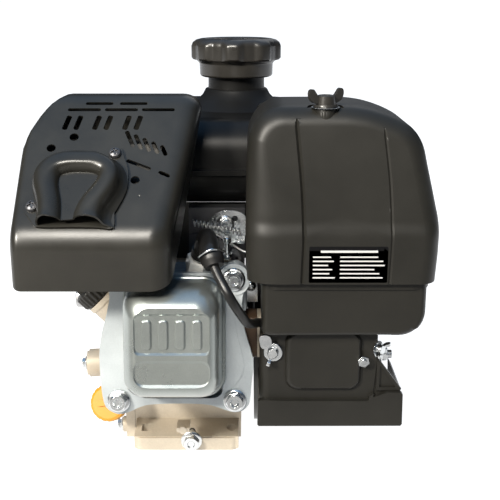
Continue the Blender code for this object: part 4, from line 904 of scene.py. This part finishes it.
CASE = ((-84, 0), (54, 0), (54, 16), (62, 40), (66, 80), (66, 120), (58, 146), (36, 164), (-10, 168), (-52, 158),
    (-68, 140), (-80, 100), (-84, 60))
CAM = in_world(0, 23.5, -47.3)
FRONT_HOLE, REAR_HOLE = -96.0, 66.0
barrel = bar("Y", 0, 0, -50, -137, 42, sides=64)
fins = [prism(rounded(-50, 50, -44, 50, 10), "Y", -y - 2.2, -y) for y in (80, 88, 96, 104, 112, 120)]
deck = prism(rounded(-54, 52, -56, 54, 9), "Y", -137, -128)
case = join(prism(CASE, "X", -50, 46), tilted(join(barrel, deck, block(-30, 30, -137, -52, -61, -34), *fins)))
slab = prism(rounded(-48.5, 44, FRONT_HOLE - 13, -70, 7), "Z", 0, 11.5)
case = join(case, slab, prism(rounded(-48.5, 44, 40, REAR_HOLE + 13, 5), "Z", 0, 15.5),
    loft([[(x, -70 - a, z) for x, z in ((-48.5, 1), (44, 1), (44, top), (-48.5, top))]
            for a, top in ((-14, 28), (0, 23.5), (16, 18.2), (30, 14.2), (37.5, 12.4))]))
case = cut(
    case, *[bar("Z", x, y, -1, 34, 4.3, sides=32) for x in (-37.75, 37.75) for y in (FRONT_HOLE, REAR_HOLE)],
    block(-42.75, -32.75, FRONT_HOLE - 4.29, FRONT_HOLE + 4.29, -1, 34),
    bar("Y", 2.5, 9.5, -111, -86, 5.7, sides=32),
    bar("X", 0, 106, 27, 47, 26.4, sides=48), prism([(y * 0.9 - 1, z * 0.86 + 12) for y, z in CASE], "X", -51, 28),
    tilted(bar("Y", 0, 0, -38, -138, 34, sides=64)), tilted(block(-27, 27, -138, -20, -57.5, -38)),
    *[tilted(block(x - 7, x + 7, -138, -60, -40, -34.3)) for x in (-17, 17)],
    *[tilted(bar("Y", x, z, -138, -115, 4.4)) for x, z in HEAD_BOLTS])
piece("crankcase_casting", case, "cast", cad="crankcase", bevel=0.9, angle=35)
piece("case_tab", join(block(-8.5, 2.5, -133, -117, 29.5, 33.5), bar("Y", -3, 31.5, -134, -130, 3.4, sides=24)),
    "cast", bevel=0.6)
drain = join(flange_bolt((2.5, -109.4, 9.5), (0, -1, 0), 12.5, 9.3, 8.2, 1.0), bar("Y", 2.5, 9.5, -109, -92, 5))
piece("drain_plug_body", drain, "zinc", cad="drain_plug", bevel=0.3, segments=2)

NECK_END, NECK_AXIS = Vector((-81, -55, 125)), Vector((-1, 0, 1)).normalized()
STICK_END, STICK_AXIS = Vector((-67.5, -104, 44)), Vector((-5, -34, 14)).normalized()
PTO_BOLTS = [(46 * cos(a), 106 + 46 * sin(a)) for a in (pi / 4 + k * pi / 2 for k in range(4))]
cover = join(
    prism(CASE, "X", -58.3, -50.3), bar("X", 0, 106, -57, -78, 33, sides=64),
    *[bar("X", y, z, -56, -78, 8.5) for y, z in PTO_BOLTS], bar("X", CAM.y, CAM.z, -52, -65, 11),
    rod(NECK_END - NECK_AXIS * 37, NECK_END, 14.5), lathe(((-5, 0), (-5, 15.4), (0, 15.4), (0, 0)), NECK_END,
        NECK_AXIS), rod((-54, -73, 70), (-90, -77, 70), 12.5), rod((-88, -76.8, 70), (-92, -77.2, 70), 10.8),
    rod(STICK_END - STICK_AXIS * 34, STICK_END, 12.5),
    *[turned(block(-64, -58, -2, 2, 106 + 30, 106 + 52), a, "X", CRANK) for a in (0, 90, 180, 270)])
EDGE_BOLTS = ((-74, 8), (-10, 8), (44, 8), (56, 62), (56, 118), (30, 155), (-20, 158), (-58, 138), (-74, 62))
cover = join(cover, *[bar("X", y, z, -50.4, -62, 7.2, sides=32) for y, z in EDGE_BOLTS])
cover = cut(
    cover, bar("X", 0, 106, -43, -59.7, 26.4, sides=48), bar("X", 0, 106, -59, -63, 15),
    bar("X", 0, 106, -62.5, -79, 19.8, sides=48), *[bar("X", y, z, -65, -79, 3.4) for y, z in PTO_BOLTS],
    bar("X", CAM.y, CAM.z, -49, -59, 6.5), rod(NECK_END - NECK_AXIS * 52, NECK_END + NECK_AXIS * 2, 9.5),
    rod(STICK_END - STICK_AXIS * 30, STICK_END + STICK_AXIS * 2, 7.0))
piece("side_cover_casting", cover, "cast", cad="side_cover", bevel=0.8, angle=35)
piece("side_cover_bolts", together(*[flange_bolt((-62, y, z), (-1, 0, 0), 8, 6.4, 5.4) for y, z in EDGE_BOLTS]),
    "zinc")
piece("front_boss_bolt", flange_bolt((-92.1, -77.2, 70), (-1, -0.1, 0), 8, 6.2, 4.6), "zinc")

rings = []
for d, r in ((0.3, 15.5), (1.2, 16.6), (3.0, 17), (12, 17), (14, 16.2), (15, 14.6)):
    side_a = NECK_AXIS.orthogonal().normalized()
    side_b = NECK_AXIS.cross(side_a)
    rings.append([NECK_END + NECK_AXIS * d + (r + (0.5 * cos(24 * a) if 2 < d < 13 else 0))
            * (side_a * cos(a) + side_b * sin(a)) for a in (2 * pi * k / 144 for k in range(144))])
cap = join(loft(rings), rod(NECK_END - NECK_AXIS * 14, NECK_END + NECK_AXIS * 2, 8.8),
    aimed(prism(rounded(-12, 12, -2.6, 2.6, 2.4), "Z", 0, 4.6), NECK_END + NECK_AXIS * 14.4, NECK_AXIS))
piece("filler_cap_body", cap, "plastic", "filler_cap", cad="upper_oil_cap", bevel=0.4)
stick = join(lathe(((0.3, 0), (0.3, 14.8), (1.2, 15.8), (3, 16.4), (9, 16.4), (10.6, 15.8), (12, 13.6), (12, 0)),
        STICK_END, STICK_AXIS, 72),
    aimed(prism(rounded(-10, 10, -2.4, 2.4, 2.2), "Z", 0, 2.6), STICK_END + STICK_AXIS * 11.4, STICK_AXIS),
    lathe(((-12, 0), (-12, 6.2), (1, 6.6), (1, 0)), STICK_END, STICK_AXIS),
    lathe(((-28, 0), (-28, 2.5), (-11, 2.5), (-11, 0)), STICK_END, STICK_AXIS))
stick = cut(stick, *[rod(STICK_END + STICK_AXIS * 1 + v, STICK_END + STICK_AXIS * 14 + v, 1.5, sides=16)
        for v in ((Matrix.Rotation(2 * pi * k / 18, 3, STICK_AXIS) @ STICK_AXIS.orthogonal().normalized())
            * 17.0 for k in range(18))])
piece("dipstick_body", stick, "yellow", "dipstick", cad="oil_dipstick", bevel=0.35, segments=2)


# ---- fan shroud, recoil starter ----

case_edge = rounded(-118, 98, 9, 203, 68, 20)
inside_edge = rounded(-116, 96, 11, 201, 66, 20)
dish = loft([[(x, y * (1 - s) + -10 * s, z * (1 - s) + 106 * s) for y, z in case_edge]
        for x, s in ((58, 0), (113, 0), (116.6, 0.010), (119, 0.028), (120, 0.05))])
housing = cut(dish, prism(inside_edge, "X", 57, 118), bar("X", 0, 106, 110, 125, 62, sides=72),
    bar("Y", 74, 96, -124, -110, 8, sides=24))
piece("blower_housing_shell", housing, "paint", cad="blower_housing", bevel=0.7)
recoil = lathe(((120.3, 64), (120.3, 84), (122.3, 84), (123.4, 81.6), (126, 80), (158, 74.6), (163, 72.4),
        (167, 68.4), (168.6, 64),
        (169.6, 52), (170, 40), (170, 0), (167.5, 0), (167.5, 38), (165.5, 64), (158, 71.5), (122.5, 77),
        (122.5, 64)), CRANK, (1, 0, 0), 96)
AXIS = Vector((0, 0.45, 0.893)).normalized()
ROPE_OUT = Vector((143, 36, 172))
recoil = cut(recoil, rod(ROPE_OUT - AXIS * 16, ROPE_OUT + AXIS * 20, 4),
    *[turned(block(164, 176, -2.4, 2.4, 106 + 30, 106 + 60), a, "X", CRANK) for a in range(0, 360, 24)],
    *[turned(block(130, 156, -4, 4, 106 + 66, 106 + 90), a, "X", CRANK) for a in range(8, 368, 30)])
recoil = join(recoil, bar("X", 0, 106, 170, 134, 7),
    *[turned(lathe(((120.3, 0), (120.3, 8), (123, 8), (123.6, 6.4), (123.6, 0)), (0, 83.4 * 0.9, 106), (1, 0, 0),
            24), a, "X", CRANK) for a in (45, 165, 285)])
piece("recoil_cover_shell", recoil, "paint", cad="recoil_cover", bevel=0.5, segments=2)
piece("recoil_screws", together(*[turned(flange_bolt((123.7, 83.4 * 0.9, 106), (1, 0, 0), 8, 5.8, 5.4), a, "X",
            CRANK)
            for a in (45, 165, 285)]), "zinc")
grip = loft([[(x * sx, y * sy, z) for x, y in rounded(-24, 24, -8, 8, 7.6, 8)] for z, sx,
        sy in ((24, 0.88, 0.72), (25.4, 0.95, 0.9), (28, 0.99, 1),
            (32, 1, 1), (34.8, 0.97, 0.92), (36, 0.9, 0.75))])
handle = join(lathe(((12, 0), (12, 7.4), (13, 8.4), (16, 10), (19, 9.6), (22, 8.4), (27, 9.6), (27, 0)), ROPE_OUT,
        AXIS, 48),
    aimed(turned(grip, 90, "Z"), ROPE_OUT, AXIS), rod(ROPE_OUT - AXIS * 12, ROPE_OUT + AXIS * 14, 2.2))
piece("starter_grip", handle, "plastic", "starter_pull", cad="starter_handle", bevel=0.4, segments=2)

shroud = join(block(-52, 52, -96.2, -95, 174, 222.7), block(50.4, 57.6, -96.2, -95, 130, 197.4))
piece("cylinder_shroud", shroud, "paint", bevel=0.4, segments=2)


# ---- carburettor, brackets and links seen between the guard and the air cleaner ----

carb = join(rod(from_port(60, 0, 0), from_port(100, 0, 0), 15),
    prism(rounded(PORT.y - 14, PORT.y + 14, PORT.z - 17, PORT.z + 17, 5), "X", 60, 64),
    rod(from_port(80, 0, -26), from_port(80, 0, 0), 11),
    lathe(((-44, 0), (-44, 13), (-42.6, 15.2), (-40, 15.8), (-27, 15.8), (-26, 17.6), (-23, 17.6), (-22, 16),
            (-22, 0)), from_port(80, 0, 0), (0, 0, 1), 56),
    rod(from_port(78, 2, -28.4), from_port(78, 20, -28.4), 3.0),
    prism(rounded(PORT.y - 14, PORT.y + 14, PORT.z - 14, PORT.z + 14, 5), "X", 96, 100),
    rod(from_port(80, 0, -48), from_port(80, 0, -43), 5, sides=6))
carb = cut(carb, rod(from_port(59, 0, 0), from_port(101, 0, 0), 10),
    *[rod(from_port(x, 0, -12.5), from_port(x, 0, 20), 2.4) for x in (68, 92)])
piece("carburetor_casting", carb, "cast", cad="carburetor", bevel=0.5)
plate = join(block(4, 50, -113, -110.5, 173, 221.7), block(4, 50, -113, -98, 219.7, 221.7),
    block(4, 50, -113, -98, 173, 175), prism(rounded(4, 18, 176, 200, 3), "Y", -116, -110.6))
plate = cut(plate, bar("Y", 30, 206, -120, -100, 4), bar("Y", 14, 188, -120, -100, 3.2))
piece("tank_bracket_plate", plate, "dull", cad="tank_bracket", bevel=0.5)
governor = join(prism(smooth_outline(((20, 196), (26, 193), (44, 194), (50, 198), (51, 212), (47, 219), (34, 220.4),
            (24, 216), (20, 208)), 4), "Y", -118.4, -116.4), block(44, 50, -130, -116.6, 196, 198))
governor = cut(governor, bar("Y", 42, 214, -122, -112, 2.4), bar("Y", 28, 199, -122, -112, 2.0))
piece("control_plate", governor, "zinc", bevel=0.35, segments=2)
bolt = flange_bolt((34, -118.6, 209), (0, -1, 0), 10, 7.4, 7)
piece("control_bolt", bolt, "zinc", bevel=0.25, segments=2)
arm = join(prism(smooth_outline(((18, 204), (24, 201), (44, 188), (47, 181), (43, 178), (38, 182), (22, 193),
            (15, 199)), 4), "Y", -123.8, -122), bar("Y", 20, 200.6, -126, -116.8, 3.2))
arm = cut(arm, bar("Y", 43.5, 181.6, -130, -118, 1.5))
piece("governor_arm", arm, "dull", bevel=0.35, segments=2)
link = tube(((20, -127, 201), (24, -128, 204), (34, -128.5, 199), (48, -130, 190), (62, -134, 186)), 0.9)
piece("governor_link", link, "steel")
coil_line = [(8 + 0.62 * k, -121 - 0.24 * k + 2.6 * sin(1.25 * k), 211 - 0.06 * k + 2.6 * cos(1.25 * k))
    for k in range(64)]
piece("governor_spring", tube(coil_line, 0.55, 0.9), "steel")
lever = join(prism(rounded(32, 40, -142, -117, 3.9), "Z", 188, 190), bar("Z", 36, -121, 180.4, 193, 4),
    bar("Z", 36, -138, 189, 203, 2.2), lathe(((202, 0), (202, 3), (203, 3.4), (205.6, 3.4), (206.4, 2.6),
            (206.4, 0)), (36, -138, -3), (0, 0, 1), 32))
piece("speed_lever_body", lever, "zinc", "speed_lever", cad="speed_control_lever", bevel=0.3, segments=2)
ell = join(block(50, 60.5, -139, -137.2, 151, 171), block(50, 60.5, -139, -124, 149.4, 151.2))
ell = cut(ell, bar("Y", 55, 163, -142, -130, 2.6))
piece("cable_bracket", ell, "zinc", bevel=0.3, segments=2)
piece("bracket_screw", cross_screw((55, -139, 163), (0, -1, 0), 4.2, 3), "zinc")
loop = tube(((61, -100, 302), (63, -108, 305), (74, -118, 306.5), (88, -118, 307), (92, -110, 307), (84, -104, 306),
        (70, -102, 304), (62, -98, 302.5)), [(1.6, 0.5), (1.6, -0.5), (-1.6, -0.5), (-1.6, 0.5)], 1.5)
piece("cap_tether", loop, "rubber")


# ---- carried-over CAD parts: working insides ----

INSIDE = {
    "steel": ("pto_bearing", "flywheel_bearing", "crankshaft_pto", "crankshaft_flywheel", "crank_gear", "pto_key",
        "crank_pin",
        "wrist_pin", "intake_pushrod", "exhaust_pushrod", "intake_valve", "exhaust_valve", "intake_valve_spring",
        "exhaust_valve_spring", "intake_rocker", "exhaust_rocker"),
    "rubber": ("pto_oil_seal",), "iron": ("flywheel", "piston_ring", "camshaft"),
    "plastic": ("cooling_fan", "recoil_pulley"), "cast": ("connecting_rod", "piston"), "ceramic": ("spark_plug",),
    "resin": ("ignition_coil", "carburetor_insulator"), "brass": ("throttle_shaft", "choke_shaft"), }
for look, names in INSIDE.items():
    for name in names:
        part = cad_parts[name]
        dress(part, look)
        round_edges(part, 0.3, 2, 40)


# ---- floor, light and camera ----

bm = bmesh.new()
bmesh.ops.create_grid(bm, x_segments=1, y_segments=1, size=160)
floor = add_drawn(bm)
floor.name = "floor"
floor.location = (0, 0, -0.0006)
pale = finish("pale_floor_with_painted_glow", (0.30, 0.29, 0.28), 0.0, 0.8, 0.01, 200, 0.03, 0.0001, 3, 0.03)
tree, link = pale.node_tree, pale.node_tree.links.new
glow = tree.nodes["Principled BSDF"]
glow.inputs["Emission Color"].default_value = (1.0, 1.0, 1.0, 1)
# Painted light: the floor glows, with no glow in front of object Y -0.34 rising to full glow behind -0.21, so the
# floor behind the engine reads white without lighting the engine's front
spot, split = node(tree, "TexCoord"), node(tree, "SeparateXYZ")
glow_behind_fade = node(tree, "MapRange", {"From Min": -0.34, "From Max": -0.21, "To Min": 0.0, "To Max": 1.0})
link(spot.outputs["Object"], split.inputs[0])
link(split.outputs["Y"], glow_behind_fade.inputs["Value"])
link(glow_behind_fade.outputs[0], glow.inputs["Emission Strength"])
floor.data.materials.append(pale)

world = bpy.data.worlds.new("studio")
bpy.context.scene.world = world
world.use_nodes = True
tree, link = world.node_tree, world.node_tree.links.new
tree.nodes.clear()
spot, split = node(tree, "TexCoord"), node(tree, "SeparateXYZ")
height = node(tree, "MapRange", {"From Min": -1.0, "From Max": 1.0})
ramp = node(tree, "ValToRGB")
low, high = ramp.color_ramp.elements
low.position, low.color = 0.50, (0.05, 0.05, 0.05, 1)
high.position, high.color = 1.0, (0.30, 0.58, 1.0, 1)
ramp.color_ramp.elements.new(0.74).color = (0.05, 0.08, 0.13, 1)
sky, out = node(tree, "Background", {"Strength": 0.8}), node(tree, "OutputWorld")
link(spot.outputs["Generated"], split.inputs["Vector"])
link(split.outputs["Z"], height.inputs["Value"])
link(height.outputs[0], ramp.inputs["Fac"])
link(ramp.outputs["Color"], sky.inputs["Color"])
link(sky.outputs[0], out.inputs["Surface"])


def area(name, azimuth, elevation, distance, size, size_y, power, colour, target=(0.0, -0.14, 0.17)):
    """Lamp seen from the target at that azimuth, from the front towards +X, and elevation."""
    a, e = radians(azimuth), radians(elevation)
    data = bpy.data.lights.new(name, "AREA")
    data.shape, data.size, data.size_y = "RECTANGLE", size, size_y
    data.energy, data.color = power, colour
    lamp = add(data)
    lamp.location = Vector(target) + distance * Vector((sin(a) * cos(e), -cos(a) * cos(e), sin(e)))
    lamp.rotation_euler = (Vector(target) - lamp.location).to_track_quat("-Z", "Y").to_euler()


area("key", -38, 29, 3.2, 0.4, 0.4, 140, (1.0, 0.95, 0.86))
area("band", -12, 42, 3.2, 0.9, 0.8, 95, (1.0, 0.95, 0.86))
area("rim", 160, 35, 1.6, 0.9, 0.9, 1.5, (1.0, 1.0, 1.0))

camera = add(bpy.data.cameras.new("camera"))
camera.location = (0.0543, -0.830, 0.388)
camera.rotation_euler = (radians(90 - 15.75), 0, 0)
camera.data.sensor_width, camera.data.lens = 36, 64.7
bpy.context.scene.camera = camera
bpy.context.scene.view_settings.view_transform = "Standard"

bpy.context.view_layer.update()
